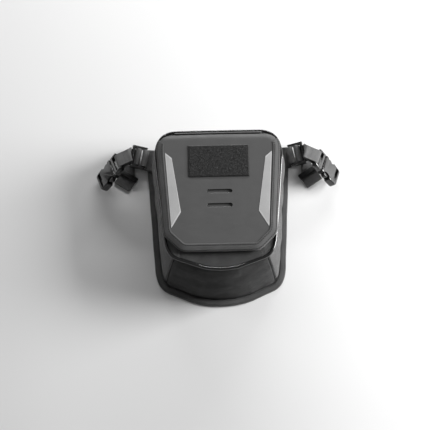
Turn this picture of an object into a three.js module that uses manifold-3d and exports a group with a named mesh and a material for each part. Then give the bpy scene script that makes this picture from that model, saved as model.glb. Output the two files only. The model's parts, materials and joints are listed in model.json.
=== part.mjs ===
// Small motorcycle tank bag: a soft box with a moulded hinged lid and two quick-release front straps.
// Millimetres, +X to the rider's right, +Y towards the handlebar, +Z up.
// The origin is on the underside, at the middle of the bag's length and width.
import * as THREE from "three";
import { mergeVertices } from "three/addons/utils/BufferGeometryUtils.js";
import Module from "manifold-3d";

const wasm = await Module();
wasm.setup();

// ---------------------------------------------------------------- driving dimensions
const GAP = 0.3; // clearance between pieces that touch
const CURVE_STEPS = 6; // straight steps in each rounded stretch of an outline

// Half outlines, front centre to rear centre: [x, y] is a straight stretch, [cx, cy, x, y] a rounded one.
const BASE_OUTLINE = [
  [0, 117.5],
  [60, 117.5],
  [98.8, 117.5, 98.8, 76],
  [88.6, -62],
  [87, -91, 70, -98],
  [0, -137, -70, -98],
];
const RIM_OUTLINE = [
  [0, 105.3],
  [54, 105.3],
  [86.2, 105.3, 86, 64.6],
  [74.2, -47.4],
  [71.2, -71.9, 55.8, -76.9],
  [0, -105.3, -55.8, -76.9],
];
const LID_OUTLINE = [
  [0, 98.6],
  [62, 98],
  [82.2, 96.6, 82.2, 74.6],
  [74, -36.4],
  [73.5, -42.9, 69.7, -47.4],
  [55.8, -61.4],
  [50.6, -66.7, 43, -66.9],
  [0, -66.9],
];

const FLANGE = 9; // width of the bound edge round the base
const FLANGE_TOP = 4.2;
const BASE_SKIN = 1.6;
const BOARD_TOP = 4.1;
const WALL_FOOT = 4.5;
const WALL_TOP = 77;
const WALL_BULGE = 2; // how far the walls stand out at mid height
const WALL = 1.8;
const FOAM = 3;
const LINING = 0.9;
const PIPING_R = 2.3;
const DECK_Z = WALL_TOP + 1.3;
const DECK = 1.6;
const MOUTH_INSET = 14; // from the lid's edge to the mouth of the bag

const LID_UNDER = WALL_TOP + 5.5;
const LID_LINING = 0.9;
const LID_SHELL_Z = LID_UNDER + 1.3;
const LID_EDGE_Z = LID_UNDER + 3.8;
const LID_TOP = LID_UNDER + 6.2;
const LID_CROWN_INSET = 10; // the flat crown stops this far from the lid's edge
const LID_HINGE = { y: 99.2, z: LID_TOP + 0.8 };
const BINDING = 9.3; // width of the lid's edge tape
const BINDING_END_Y = 89.6;
const PATCH = { x: 40, y0: 34.6, y1: 79.3, thick: 1.5 };
const SLOT = { half: 17, r: 2.9, deep: 2.2, y: [14.7, -4.8] };
const REFLECTOR = [
  [70.6, 70.2],
  [61.9, 62.6],
  [50.6, -13.6],
  [63.3, -35.4],
];
const REFLECTOR_THICK = 0.7;

const WEB = 25; // strap width
const WEB_THICK = 1.6;
const RAIL = 3.4; // side rails of lock and buckle
const LOCK_SPAN = WEB / 2 + GAP; // half the clear width between rails

const WING = { x: 96.6, y: 94.5, z: 5.4, heading: 10, fold: 0.9, root: 12, reach: 3.2, thick: 1.4 };
const LOCK = { u: 5.8, w: 4.7, pitch: 10, length: 19, bars: [0, 8.5, 16.5] };
const BAR = { x: 135.5, y: 81, z: 35.2 }; // the plug's webbing bar
const BUCKLE = { heading: -40, pitch: -38, roll: -32 };
const LOOP_LIFT = 34; // how far the webbing's end is turned up from the buckle, about the bar

// ---------------------------------------------------------------- outlines and solids

// The full closed outline, anticlockwise seen from above.
function outline(half) {
  const path = new THREE.Path();
  path.moveTo(...half[0]);
  for (const step of half.slice(1)) {
    if (step.length === 2) path.lineTo(...step);
    else path.quadraticCurveTo(...step);
  }
  const right = path.getPoints(CURVE_STEPS).filter((p) => p.x > -1e-6);
  const left = right.filter((p) => p.x > 1e-6).map((p) => new THREE.Vector2(-p.x, p.y));
  return [...left, ...right.reverse()];
}

// Moves every edge of an outline inwards by the same distance.
function inset(points, distance) {
  const count = points.length;
  const normal = (a, b) => new THREE.Vector2(a.y - b.y, b.x - a.x).normalize();
  return points.map((p, i) => {
    const before = normal(points[(i + count - 1) % count], p);
    const after = normal(p, points[(i + 1) % count]);
    const bisector = before.clone().add(after).normalize();
    return p.clone().addScaledVector(bisector, distance / bisector.dot(after));
  });
}

function mix(a, b, t, spread = 0) {
  return inset(a.map((p, i) => p.clone().lerp(b[i], t)), -spread);
}

function level(points, z) {
  return points.map((p) => new THREE.Vector3(p.x, p.y, z));
}

// A closed solid through rings of equal length; the first and last are capped.
function loft(rings) {
  const count = rings[0].length;
  const index = [];
  for (let r = 0; r < rings.length - 1; r++) {
    for (let i = 0; i < count; i++) {
      const a = r * count + i;
      const b = r * count + ((i + 1) % count);
      index.push(a, b, b + count, a, b + count, a + count);
    }
  }
  const capOf = (ring) => THREE.ShapeUtils.triangulateShape(
    ring.map((p) => new THREE.Vector2(p.x, p.y)), []);
  const top = (rings.length - 1) * count;
  for (const [a, b, c] of capOf(rings[0])) index.push(c, b, a);
  for (const [a, b, c] of capOf(rings.at(-1))) index.push(top + a, top + b, top + c);
  return new THREE.BufferGeometry().setFromPoints(rings.flat()).setIndex(index);
}

function slab(points, z0, z1) {
  return loft([level(points, z0), level(points, z1)]);
}

function box(x0, x1, y0, y1, z0, z1) {
  const g = new THREE.BoxGeometry(x1 - x0, y1 - y0, z1 - z0);
  return g.translate((x0 + x1) / 2, (y0 + y1) / 2, (z0 + z1) / 2);
}

function manifold(geometry) {
  const g = geometry.clone();
  g.deleteAttribute("normal");
  g.deleteAttribute("uv");
  const merged = mergeVertices(g, 1e-4);
  return new wasm.Manifold(new wasm.Mesh({
    numProp: 3,
    vertProperties: merged.attributes.position.array,
    triVerts: new Uint32Array(merged.index.array),
  }));
}

function geometry(made) {
  const mesh = made.getMesh();
  const g = new THREE.BufferGeometry();
  g.setAttribute("position", new THREE.BufferAttribute(mesh.vertProperties, 3));
  return g.setIndex(new THREE.BufferAttribute(mesh.triVerts, 1));
}

function cut(body, ...tools) {
  return geometry(tools.reduce((m, tool) => m.subtract(manifold(tool)), manifold(body)));
}

function common(body, tool) {
  return geometry(manifold(body).intersect(manifold(tool)));
}

function join(first, ...others) {
  return geometry(others.reduce((m, other) => m.add(manifold(other)), manifold(first)));
}

// A flat strip swept along points; across[i] is the strip's width direction at point i.
function ribbon(points, across, width, thick) {
  const rings = points.map((p, i) => {
    const ahead = points[Math.min(i + 1, points.length - 1)];
    const behind = points[Math.max(i - 1, 0)];
    const along = ahead.clone().sub(behind).normalize();
    const side = across[i].clone().multiplyScalar(width / 2);
    const up = along.cross(across[i]).normalize().multiplyScalar(thick / 2);
    return [[1, 1], [-1, 1], [-1, -1], [1, -1]].map(([s, u]) => (
      p.clone().addScaledVector(side, s).addScaledVector(up, u)));
  });
  const index = [];
  for (let r = 0; r < rings.length - 1; r++) {
    for (let i = 0; i < 4; i++) {
      const a = r * 4 + i;
      const b = r * 4 + ((i + 1) % 4);
      index.push(a, b, b + 4, a, b + 4, a + 4);
    }
  }
  const end = (rings.length - 1) * 4;
  index.push(0, 2, 1, 0, 3, 2, end, end + 1, end + 2, end, end + 2, end + 3);
  return new THREE.BufferGeometry().setFromPoints(rings.flat()).setIndex(index);
}

// ---------------------------------------------------------------- materials
const finish = (color, roughness, metalness = 0) => ({ color, roughness, metalness });
const SHELL_FABRIC = finish(0x3c3d3f, 0.85);
const REAR_FABRIC = finish(0x2b2c2e, 0.9);
const BINDING_TAPE = finish(0x303133, 0.8);
const RUBBER = finish(0x1b1b1c, 0.75);
const BOARD = finish(0x23242a, 0.6);
const FOAM_GREY = finish(0x4c4d50, 0.95);
const LINING_GREY = finish(0x55585c, 0.8);
const PIPING_BLACK = finish(0x141415, 0.3);
const MOULDED = finish(0x56585a, 0.55);
const LOOP_FUZZ = finish(0x202022, 0.98);
const REFLECTIVE = finish(0xd4d6d8, 0.4);
const WEBBING = finish(0x3a3b3d, 0.7);
const ACETAL = finish(0x0f0f10, 0.25);
const ELASTIC = finish(0x161617, 0.7);

function piece(parent, name, shape, look) {
  const mesh = new THREE.Mesh(shape, new THREE.MeshStandardMaterial(look));
  mesh.name = name;
  parent.add(mesh);
}

// ---------------------------------------------------------------- the soft body
const base = outline(BASE_OUTLINE);
const rim = outline(RIM_OUTLINE);
const lidEdge = outline(LID_OUTLINE);
const mouth = inset(lidEdge, MOUTH_INSET);

// The body's tapering form, a distance inside the outer skin, from z0 up to z1.
function bodyForm(depth, z0, z1) {
  const foot = inset(base, FLANGE + GAP + depth);
  const head = inset(rim, depth + 0.6);
  const heights = [z0, (WALL_FOOT + WALL_TOP) / 2, z1];
  const rising = heights.filter((z, i) => i !== 1 || (z > z0 && z < z1));
  return loft(rising.map((z) => {
    const t = (z - WALL_FOOT) / (WALL_TOP - WALL_FOOT);
    const bulge = 4 * t * (1 - t) * WALL_BULGE;
    return level(mix(foot, head, t, Math.max(bulge, 0)), z);
  }));
}

// The space behind the two slanting rear seams; grow widens it by the seam gap.
function rearSector(grow) {
  const seamTop = new THREE.Vector2(62.4 + grow, -75.9 + grow);
  const seamFoot = new THREE.Vector2(76.8 + grow, -87.6 + grow);
  const through = new THREE.Vector2(0.62, -0.78);
  const ring = (z) => {
    const t = (WALL_TOP - z) / (WALL_TOP - WALL_FOOT);
    const seam = seamTop.clone().lerp(seamFoot, t);
    const inner = seam.clone().addScaledVector(through, -32);
    const outer = seam.clone().addScaledVector(through, 32);
    const right = [[outer.x, -150], [outer.x, outer.y], [inner.x, inner.y]];
    const left = right.map(([x, y]) => [-x, y]).reverse();
    return [...right, ...left].map(([x, y]) => new THREE.Vector3(x, y, z));
  };
  return loft([ring(0), ring(WALL_TOP + 5)]);
}

function frontSector(grow) {
  const right = [[50 + grow, 60 - grow], [88 + grow, 130]];
  const left = right.map(([x, y]) => [-x, y]).reverse();
  const points = [...right, ...left].map(([x, y]) => new THREE.Vector2(x, y));
  return slab(points, 0, WALL_TOP + 5);
}

function sideHalf(side) {
  const reach = 150;
  const [near, far] = side > 0 ? [0, reach] : [-reach, 0];
  return box(near, far, -reach, reach, 0, reach);
}

function ring(outer, inner, z0, z1) {
  return cut(slab(outer, z0, z1), slab(inner, z0 - 1, z1 + 1));
}

// Piping: a round cord under a skin, along the rim.
function piping() {
  const track = inset(rim, PIPING_R);
  const points = track.map((p) => new THREE.Vector3(p.x, p.y, WALL_TOP + GAP + PIPING_R));
  const curve = new THREE.CatmullRomCurve3(points, true, "centripetal");
  const section = new THREE.Shape().absarc(0, 0, PIPING_R, 0, 2 * Math.PI);
  const options = { extrudePath: curve, steps: 72, curveSegments: 4, bevelEnabled: false };
  return new THREE.ExtrudeGeometry(section, options);
}

function buildBody(group) {
  const boardEdge = inset(base, FLANGE + GAP);
  const outer = bodyForm(0, WALL_FOOT, WALL_TOP);
  const walls = cut(outer, bodyForm(WALL, WALL_FOOT - 1, WALL_TOP + 1));
  const foamDepth = WALL + GAP;
  const liningDepth = foamDepth + FOAM + GAP;
  const floorTop = WALL_FOOT + 2.2;

  piece(group, "base_panel", slab(boardEdge, 0, BASE_SKIN), RUBBER);
  piece(group, "base_board", slab(boardEdge, BASE_SKIN + GAP, BOARD_TOP), BOARD);
  piece(group, "base_binding", ring(base, inset(base, FLANGE), 0, FLANGE_TOP), BINDING_TAPE);
  piece(group, "floor_pad", bodyForm(liningDepth, WALL_FOOT, floorTop), FOAM_GREY);

  piece(group, "front_wall", common(walls, frontSector(0)), SHELL_FABRIC);
  piece(group, "rear_wall", common(walls, rearSector(0)), REAR_FABRIC);
  const gussets = cut(walls, frontSector(GAP), rearSector(GAP));
  piece(group, "gusset_right", common(gussets, sideHalf(1)), SHELL_FABRIC);
  piece(group, "gusset_left", common(gussets, sideHalf(-1)), SHELL_FABRIC);

  const foamOuter = bodyForm(foamDepth, WALL_FOOT, WALL_TOP + GAP);
  const foamInner = bodyForm(foamDepth + FOAM, WALL_FOOT - 1, WALL_TOP + 1);
  piece(group, "foam_walls", cut(foamOuter, foamInner), FOAM_GREY);
  const tub = bodyForm(liningDepth, floorTop + GAP, WALL_TOP + 2 * GAP);
  const tubInside = bodyForm(liningDepth + LINING, floorTop + GAP + LINING, WALL_TOP + 2);
  piece(group, "inner_lining", cut(tub, tubInside), LINING_GREY);

  piece(group, "rim_piping", piping(), PIPING_BLACK);
  const deckEdge = inset(rim, 2 * PIPING_R + 2 * GAP);
  piece(group, "top_deck", ring(deckEdge, mouth, DECK_Z, DECK_Z + DECK), SHELL_FABRIC);
  const onDeck = DECK_Z + DECK + GAP;
  piece(group, "closure_loop_strip", box(-42, 42, -65, -55.5, onDeck, onDeck + 0.9), LOOP_FUZZ);
  piece(group, "lid_hinge_tape", box(-58, 58, 88.5, 99, onDeck, onDeck + 1), BINDING_TAPE);
}

// ---------------------------------------------------------------- the lid
function capsule(halfLength, r, y, z0, z1) {
  const shape = new THREE.Shape();
  shape.absarc(halfLength - r, 0, r, -Math.PI / 2, Math.PI / 2);
  shape.absarc(r - halfLength, 0, r, Math.PI / 2, 1.5 * Math.PI);
  const options = { depth: z1 - z0, bevelEnabled: false, curveSegments: 8 };
  return new THREE.ExtrudeGeometry(shape, options).translate(0, y, z0);
}

// The moulded panel with a bevelled edge; grow makes it larger all round.
function lidPanel(grow) {
  const edge = inset(lidEdge, WEB_THICK - grow);
  return loft([
    level(edge, LID_SHELL_Z - grow),
    level(edge, LID_EDGE_Z + grow),
    level(inset(lidEdge, LID_CROWN_INSET), LID_TOP + grow),
  ]);
}

function lidBinding() {
  const over = loft([
    level(inset(lidEdge, 0.6), LID_UNDER),
    level(lidEdge, LID_SHELL_Z),
    level(lidEdge, LID_EDGE_Z + 0.7),
    level(inset(lidEdge, BINDING), LID_TOP + 0.9),
  ]);
  const window = slab(inset(lidEdge, BINDING), LID_UNDER - 1, LID_TOP + 2);
  return cut(over, window, lidPanel(GAP), box(-100, 100, BINDING_END_Y, 120, WALL_TOP, WALL_TOP + 30));
}

function buildLid(group) {
  const slots = SLOT.y.map((y) => capsule(SLOT.half, SLOT.r, y, LID_TOP - SLOT.deep, LID_TOP + 1));
  piece(group, "lid_shell", cut(lidPanel(0), ...slots), MOULDED);
  piece(group, "lid_binding", lidBinding(), BINDING_TAPE);
  const liningEdge = inset(lidEdge, BINDING + GAP);
  piece(group, "lid_lining", slab(liningEdge, LID_UNDER, LID_UNDER + LID_LINING), LINING_GREY);
  const top = LID_TOP + GAP;
  const patch = box(-PATCH.x, PATCH.x, PATCH.y0, PATCH.y1, top, top + PATCH.thick);
  piece(group, "loop_patch", patch, LOOP_FUZZ);
  const right = REFLECTOR.map(([x, y]) => new THREE.Vector2(x, y));
  const left = right.map((p) => new THREE.Vector2(-p.x, p.y)).reverse();
  piece(group, "reflector_right", slab(right, top, top + REFLECTOR_THICK), REFLECTIVE);
  piece(group, "reflector_left", slab(left, top, top + REFLECTOR_THICK), REFLECTIVE);
  const under = LID_UNDER - GAP;
  piece(group, "closure_hook_strip", box(-42, 42, -57.5, -52.8, under - 0.7, under), LOOP_FUZZ);
}

// ---------------------------------------------------------------- straps
const rad = THREE.MathUtils.degToRad;

// A frame whose x runs along the strap, y across it and z out of its face.
function strapFrame(x, y, z, heading, pitch = 0, roll = 0) {
  const frame = new THREE.Group();
  frame.position.set(x, y, z);
  frame.rotation.set(rad(roll), rad(-pitch), rad(heading), "ZYX");
  frame.updateMatrix();
  return frame;
}

const wingFrame = strapFrame(WING.x, WING.y, WING.z, WING.heading);
const lockFrame = strapFrame(
  WING.x + LOCK.u * Math.cos(rad(WING.heading)),
  WING.y + LOCK.u * Math.sin(rad(WING.heading)),
  WING.z + LOCK.w,
  WING.heading,
  LOCK.pitch,
);
const buckleFrame = strapFrame(BAR.x, BAR.y, BAR.z, BUCKLE.heading, BUCKLE.pitch, BUCKLE.roll);
const loopFrame = buckleFrame.clone().rotateY(rad(-LOOP_LIFT));
loopFrame.updateMatrix();

const place = (frame, [u, w]) => new THREE.Vector3(u, 0, w).applyMatrix4(frame.matrix);
const acrossOf = (frame) => new THREE.Vector3(0, 1, 0).transformDirection(frame.matrix);

// Points half way round a bar, at a radius, from its top to its underside on the +u side.
function roundBar(u, w, radius, steps, from = 90, to = -90) {
  return Array.from({ length: steps + 1 }, (_, i) => {
    const angle = rad(from + ((to - from) * i) / steps);
    return [u + radius * Math.cos(angle), w + radius * Math.sin(angle)];
  });
}

// A ribbon whose width direction turns smoothly from the first to the last, between two shares of its length.
function strap(points, steps, firstAcross, lastAcross, turnFrom = 0, turnTo = 1) {
  const curve = new THREE.CatmullRomCurve3(points, false, "centripetal");
  const spaced = curve.getSpacedPoints(steps);
  const across = spaced.map((_, i) => {
    const t = THREE.MathUtils.smoothstep(i / steps, turnFrom, turnTo);
    return firstAcross.clone().lerp(lastAcross, t).normalize();
  });
  return ribbon(spaced, across, WEB, WEB_THICK);
}

const LOOP_R = 1.8 + 0.4 + WEB_THICK / 2;

// The folded webbing that holds the lock to the wing.
function wingLoop() {
  const low = -LOOP_R;
  const path = [[-4.6, 1.1], [-2.2, 2.3], ...roundBar(0, 0, LOOP_R, 6), [-2.2, low + 0.5], [-4.6, -1.1]];
  const inLock = lockFrame.clone();
  inLock.rotation.y = 0;
  inLock.updateMatrix();
  const points = path.map((p) => place(inLock, p));
  return strap(points, 26, acrossOf(inLock), acrossOf(inLock));
}

// Webbing: sewn loop on the plug's bar, in to the lock, over its middle bar and out below.
function strapWebbing() {
  const doubled = WEB_THICK + GAP;
  const sewnEnd = [[-17, LOOP_R - doubled], [-12.5, LOOP_R - doubled], [-8, -0.4]];
  const aroundPlug = [...sewnEnd, ...roundBar(0, 0, -LOOP_R, 5, 90, -90).map(([u, w]) => [-u, w])];
  const lead = [[-8, LOOP_R], [-13, LOOP_R], [-18, LOOP_R]];
  const atLock = [
    [19.5, -3.1], [15.6, -3.4], [12.9, -1.9], [12.2, 0.2], [11, 2.2],
    [8.5, 3.1], [6.2, 2], [5.6, -0.6], [6, -3.4], [8.2, -5.2], [12, -5.6],
  ];
  const points = [
    ...aroundPlug.map((p) => place(loopFrame, p)),
    ...lead.map((p) => place(loopFrame, p)),
    ...atLock.map((p) => place(lockFrame, p)),
  ];
  return strap(points, 78, acrossOf(loopFrame), acrossOf(lockFrame), 0.38, 0.64);
}

// The loose end: out from under the lock, then down and back along the bag's side.
const TAIL = [[117, 88.5, 3.2], [120, 82, 2.7], [123.5, 74, 2.5], [128.5, 65.5, 2], [134, 57, 1.5]];
const TAIL_HEADING = -57;
const KEEPER = { x: 124.4, y: 72.6, z: 2.6, heading: -57, pitch: -2, length: 8, skin: 0.8, play: 0.6 };

function strapTail() {
  const start = place(lockFrame, [14.5, -5.9]);
  const points = [start, ...TAIL.map((p) => new THREE.Vector3(...p))];
  const last = acrossOf(strapFrame(0, 0, 0, TAIL_HEADING));
  return strap(points, 16, acrossOf(lockFrame), last, 0, 0.75);
}

function tailKeeper() {
  const halfLength = KEEPER.length / 2;
  const halfWidth = WEB / 2 + KEEPER.play;
  const halfHeight = WEB_THICK / 2 + KEEPER.play;
  const skin = KEEPER.skin;
  const body = box(-halfLength, halfLength, -halfWidth - skin, halfWidth + skin,
    -halfHeight - skin, halfHeight + skin);
  return cut(body, box(-9, 9, -halfWidth, halfWidth, -halfHeight, halfHeight));
}

// A rod across the strap with a rounded section.
function crossBar(u, w, halfU, halfW, halfSpan) {
  const shape = new THREE.Shape();
  const corner = Math.min(halfU, halfW) * 0.6;
  const outlinePoints = [
    [halfU, halfW - corner], [halfU - corner, halfW], [corner - halfU, halfW], [-halfU, halfW - corner],
    [-halfU, corner - halfW], [corner - halfU, -halfW], [halfU - corner, -halfW], [halfU, corner - halfW],
  ];
  shape.setFromPoints(outlinePoints.map(([x, y]) => new THREE.Vector2(x, y)));
  const bar = new THREE.ExtrudeGeometry(shape, { depth: 2 * halfSpan, bevelEnabled: false });
  return bar.rotateX(Math.PI / 2).translate(u, halfSpan, w);
}

// Ladder lock: two rails, three rungs and a ridged thumb lip.
function ladderLock() {
  const outer = LOCK_SPAN + RAIL;
  const rails = [1, -1].map((side) => {
    const shape = new THREE.Shape();
    shape.moveTo(-2.6, -1.2);
    shape.quadraticCurveTo(-2.6, -2.2, 0, -2.2);
    shape.lineTo(LOCK.length - 1.5, -2.2);
    shape.lineTo(LOCK.length, 0.6);
    shape.lineTo(LOCK.length - 1.2, 2.6);
    shape.lineTo(0, 2.2);
    shape.quadraticCurveTo(-2.6, 2.2, -2.6, 1.2);
    const rail = new THREE.ExtrudeGeometry(shape, { depth: RAIL, curveSegments: 3, bevelEnabled: false });
    return rail.rotateX(Math.PI / 2).translate(0, side > 0 ? outer : -LOCK_SPAN, 0);
  });
  const [inner, middle, last] = LOCK.bars;
  const rungs = [
    crossBar(inner, 0, 1.8, 1.8, outer - 1),
    crossBar(middle, 0.2, 1.5, 1.9, outer - 1),
    crossBar(last, 0.3, 1.8, 2.1, outer - 1),
  ];
  const ridges = [-2, -1, 0, 1, 2].map((i) => (
    box(last - 0.6, last + 2.2, i * 4.6 - 1.2, i * 4.6 + 1.2, 1.6, 3.2)));
  return join(rails[0], rails[1], ...rungs, ...ridges);
}

// Buckle sizes along its own length, measured from the plug's bar.
const PLUG = { slotEnd: 6.6, baseEnd: 11, prongEnd: 26, halfThick: 3.8 };
const SOCKET = { mouth: 11.4, cavityEnd: 29.6, slot: [35.2, 40], end: 43.6, halfThick: 4.9 };
const BUCKLE_HALF = LOCK_SPAN + RAIL;

// Half outline in (length, width), mirrored across the buckle's axis and extruded through its thickness.
function buckleSlab(half, halfThick, bevel) {
  const shape = new THREE.Shape();
  const points = [...half, ...half.map(([u, v]) => [u, -v]).reverse()];
  shape.setFromPoints(points.map(([u, v]) => new THREE.Vector2(u, v)));
  const options = {
    depth: 2 * (halfThick - bevel), bevelEnabled: bevel > 0, bevelThickness: bevel,
    bevelSize: bevel, bevelOffset: -bevel, bevelSegments: 2,
  };
  return new THREE.ExtrudeGeometry(shape, options).translate(0, 0, bevel - halfThick);
}

function bucklePlug() {
  const w = BUCKLE_HALF;
  const body = buckleSlab([[-2.4, w - 1.6], [0, w], [PLUG.baseEnd, w]], PLUG.halfThick, 1.2);
  const slot = box(1.8, PLUG.slotEnd, -LOCK_SPAN, LOCK_SPAN, -9, 9);
  const barRelief = box(-9, 1.9, -LOCK_SPAN, LOCK_SPAN, -9, 9);
  const bar = crossBar(0, 0, 1.8, 1.8, LOCK_SPAN + 1);
  const prong = box(PLUG.baseEnd - 1, PLUG.prongEnd, -2.8, 2.8, -1.7, 1.7);
  return join(cut(body, slot, barRelief), bar, prong);
}

// One sprung arm; side is +1 for the front one.
function latchArm(side) {
  const start = PLUG.baseEnd + GAP;
  const shape = new THREE.Shape();
  shape.moveTo(start, 7.4);
  shape.lineTo(19.5, 7.2);
  shape.quadraticCurveTo(25, 7.4, 28.2, 10.2);
  shape.lineTo(27.8, 12.2);
  shape.quadraticCurveTo(25.6, 16.7, 21.6, 16.8);
  shape.quadraticCurveTo(18.4, 16.6, 16.8, 12);
  shape.lineTo(start, 10.6);
  const arm = new THREE.ExtrudeGeometry(shape, { depth: 6, curveSegments: 4, bevelEnabled: false });
  arm.translate(0, 0, -3);
  return side > 0 ? arm : arm.rotateX(Math.PI);
}

function buckleSocket() {
  const w = BUCKLE_HALF;
  const half = [
    [SOCKET.mouth, w - 0.6], [15, w], [21, w + 0.7], [27, w + 0.4], [33, w - 0.4], [39, w - 0.8],
    [42.2, w - 2], [SOCKET.end, w - 4.2],
  ];
  const body = buckleSlab(half, SOCKET.halfThick, 1.5);
  const cavity = box(SOCKET.mouth - 1, SOCKET.cavityEnd, -13.2, 13.2, -3.6, 3.6);
  const slot = box(SOCKET.slot[0], SOCKET.slot[1], -LOCK_SPAN, LOCK_SPAN, -9, 9);
  const windows = [1, -1].map((side) => {
    const shape = new THREE.Shape();
    shape.moveTo(15.6, 24);
    shape.lineTo(15.6, 15.4);
    shape.quadraticCurveTo(17.4, 11.4, 22, 11.2);
    shape.quadraticCurveTo(27, 11.2, 29.2, 15.4);
    shape.lineTo(29.2, 24);
    const hole = new THREE.ExtrudeGeometry(shape, { depth: 20, curveSegments: 5, bevelEnabled: false });
    hole.translate(0, 0, -10);
    return side > 0 ? hole : hole.rotateX(Math.PI);
  });
  return cut(body, cavity, slot, ...windows);
}

// Wing plates: one sewn on the flange, one beyond the fold line.
function wingPlate(u0, v0, u1, v1) {
  const points = [[u0, -v0], [u1, -v1], [u1, v1], [u0, v0]].map(([u, v]) => new THREE.Vector2(u, v));
  return slab(points, -WING.thick / 2, WING.thick / 2);
}

function wingRoot() {
  const plate = wingPlate(-WING.root, 17, -WING.fold, 16).applyMatrix4(wingFrame.matrix);
  return cut(plate, bodyForm(-GAP, 0, WALL_TOP));
}

function buildSide(group, side) {
  const mirror = new THREE.Group();
  mirror.scale.x = side === "right" ? 1 : -1;
  group.add(mirror);
  const wing = wingFrame.clone();
  const lock = lockFrame.clone();
  const buckle = buckleFrame.clone();
  const keeper = strapFrame(KEEPER.x, KEEPER.y, KEEPER.z, KEEPER.heading, KEEPER.pitch);
  wing.name = `wing_frame_${side}`;
  lock.name = `lock_frame_${side}`;
  buckle.name = `buckle_frame_${side}`;
  mirror.add(wing, lock, buckle, keeper);

  piece(mirror, `wing_root_${side}`, wingRoot(), SHELL_FABRIC);
  piece(wing, `strap_wing_${side}`, wingPlate(WING.fold, 16, WING.reach, 15.5), SHELL_FABRIC);
  piece(mirror, `wing_loop_${side}`, wingLoop(), WEBBING);
  piece(lock, `ladder_lock_${side}`, ladderLock(), ACETAL);
  piece(mirror, `strap_webbing_${side}`, strapWebbing(), WEBBING);
  piece(mirror, `strap_tail_${side}`, strapTail(), WEBBING);
  piece(keeper, `tail_keeper_${side}`, tailKeeper(), ELASTIC);
  piece(buckle, `buckle_plug_${side}`, bucklePlug(), ACETAL);
  piece(buckle, `latch_arm_front_${side}`, latchArm(1), ACETAL);
  piece(buckle, `latch_arm_rear_${side}`, latchArm(-1), ACETAL);
  piece(buckle, `buckle_socket_${side}`, buckleSocket(), ACETAL);
}

// ---------------------------------------------------------------- the assembly
const bag = new THREE.Group();
buildBody(bag);

// The lid turns about a line along its top front edge.
const lid = new THREE.Group();
lid.position.set(0, LID_HINGE.y, LID_HINGE.z);
bag.add(lid);
const lidPieces = new THREE.Group();
lidPieces.position.set(0, -LID_HINGE.y, -LID_HINGE.z);
lid.add(lidPieces);
buildLid(lidPieces);

buildSide(bag, "right");
buildSide(bag, "left");

export default bag;
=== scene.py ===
"""Looks of a small motorcycle tank bag: a soft box with a moulded lid and two quick-release straps.

Lengths are in millimetres until a mesh is made, which is in metres. Angles round the bag are clockwise
seen from above, from the front centre: 0 is the front, a quarter turn is the right, half a turn the rear.
"""
import json
import math

import bmesh
import bpy
import numpy as np
from mathutils import Matrix, Vector

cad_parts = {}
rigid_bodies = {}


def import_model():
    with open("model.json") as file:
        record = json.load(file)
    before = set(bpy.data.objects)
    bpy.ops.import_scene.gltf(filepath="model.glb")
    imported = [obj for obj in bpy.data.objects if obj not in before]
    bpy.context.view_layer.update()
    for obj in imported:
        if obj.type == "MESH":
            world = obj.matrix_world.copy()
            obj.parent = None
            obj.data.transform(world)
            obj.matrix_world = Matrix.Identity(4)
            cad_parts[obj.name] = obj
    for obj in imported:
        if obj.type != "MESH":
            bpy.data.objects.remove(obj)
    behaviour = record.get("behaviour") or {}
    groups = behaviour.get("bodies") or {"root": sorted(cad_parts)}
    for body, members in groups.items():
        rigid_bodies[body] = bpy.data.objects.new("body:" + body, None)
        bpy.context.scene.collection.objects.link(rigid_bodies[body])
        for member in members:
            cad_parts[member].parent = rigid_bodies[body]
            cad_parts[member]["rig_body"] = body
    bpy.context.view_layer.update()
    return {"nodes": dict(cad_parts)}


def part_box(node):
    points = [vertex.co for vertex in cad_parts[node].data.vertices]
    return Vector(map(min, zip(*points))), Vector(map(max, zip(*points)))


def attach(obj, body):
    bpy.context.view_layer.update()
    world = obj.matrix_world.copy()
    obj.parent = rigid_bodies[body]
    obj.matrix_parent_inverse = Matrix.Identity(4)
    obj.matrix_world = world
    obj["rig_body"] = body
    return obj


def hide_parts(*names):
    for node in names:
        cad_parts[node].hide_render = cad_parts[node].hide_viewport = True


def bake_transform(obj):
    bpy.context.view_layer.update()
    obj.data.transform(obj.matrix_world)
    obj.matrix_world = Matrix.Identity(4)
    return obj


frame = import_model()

MM = 0.001


def span(node, axis):
    """A CAD node's lowest and highest place along an axis, in millimetres."""
    low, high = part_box(node)
    return low[axis] / MM, high[axis] / MM


# ---------------------------------------------------------------- sizes
# Half outlines from the front centre to the rear centre: [x, y] is straight, [cx, cy, x, y] rounded.
BASE_HALF = [[0, 117.5], [60, 117.5], [98.8, 117.5, 98.8, 76], [88.6, -62], [87, -91, 70, -98],
             [0, -137, -70, -98]]
RIM_HALF = [[0, 105.3], [54, 105.3], [86.2, 105.3, 86, 64.6], [74.2, -47.4], [71.2, -71.9, 55.8, -76.9],
            [0, -105.3, -55.8, -76.9]]
LID_HALF = [[0, 98.6], [62, 98], [82.2, 96.6, 82.2, 74.6], [74, -36.4], [73.5, -42.9, 69.7, -47.4],
            [55.8, -61.4], [50.6, -66.7, 43, -66.9], [0, -66.9]]

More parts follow.
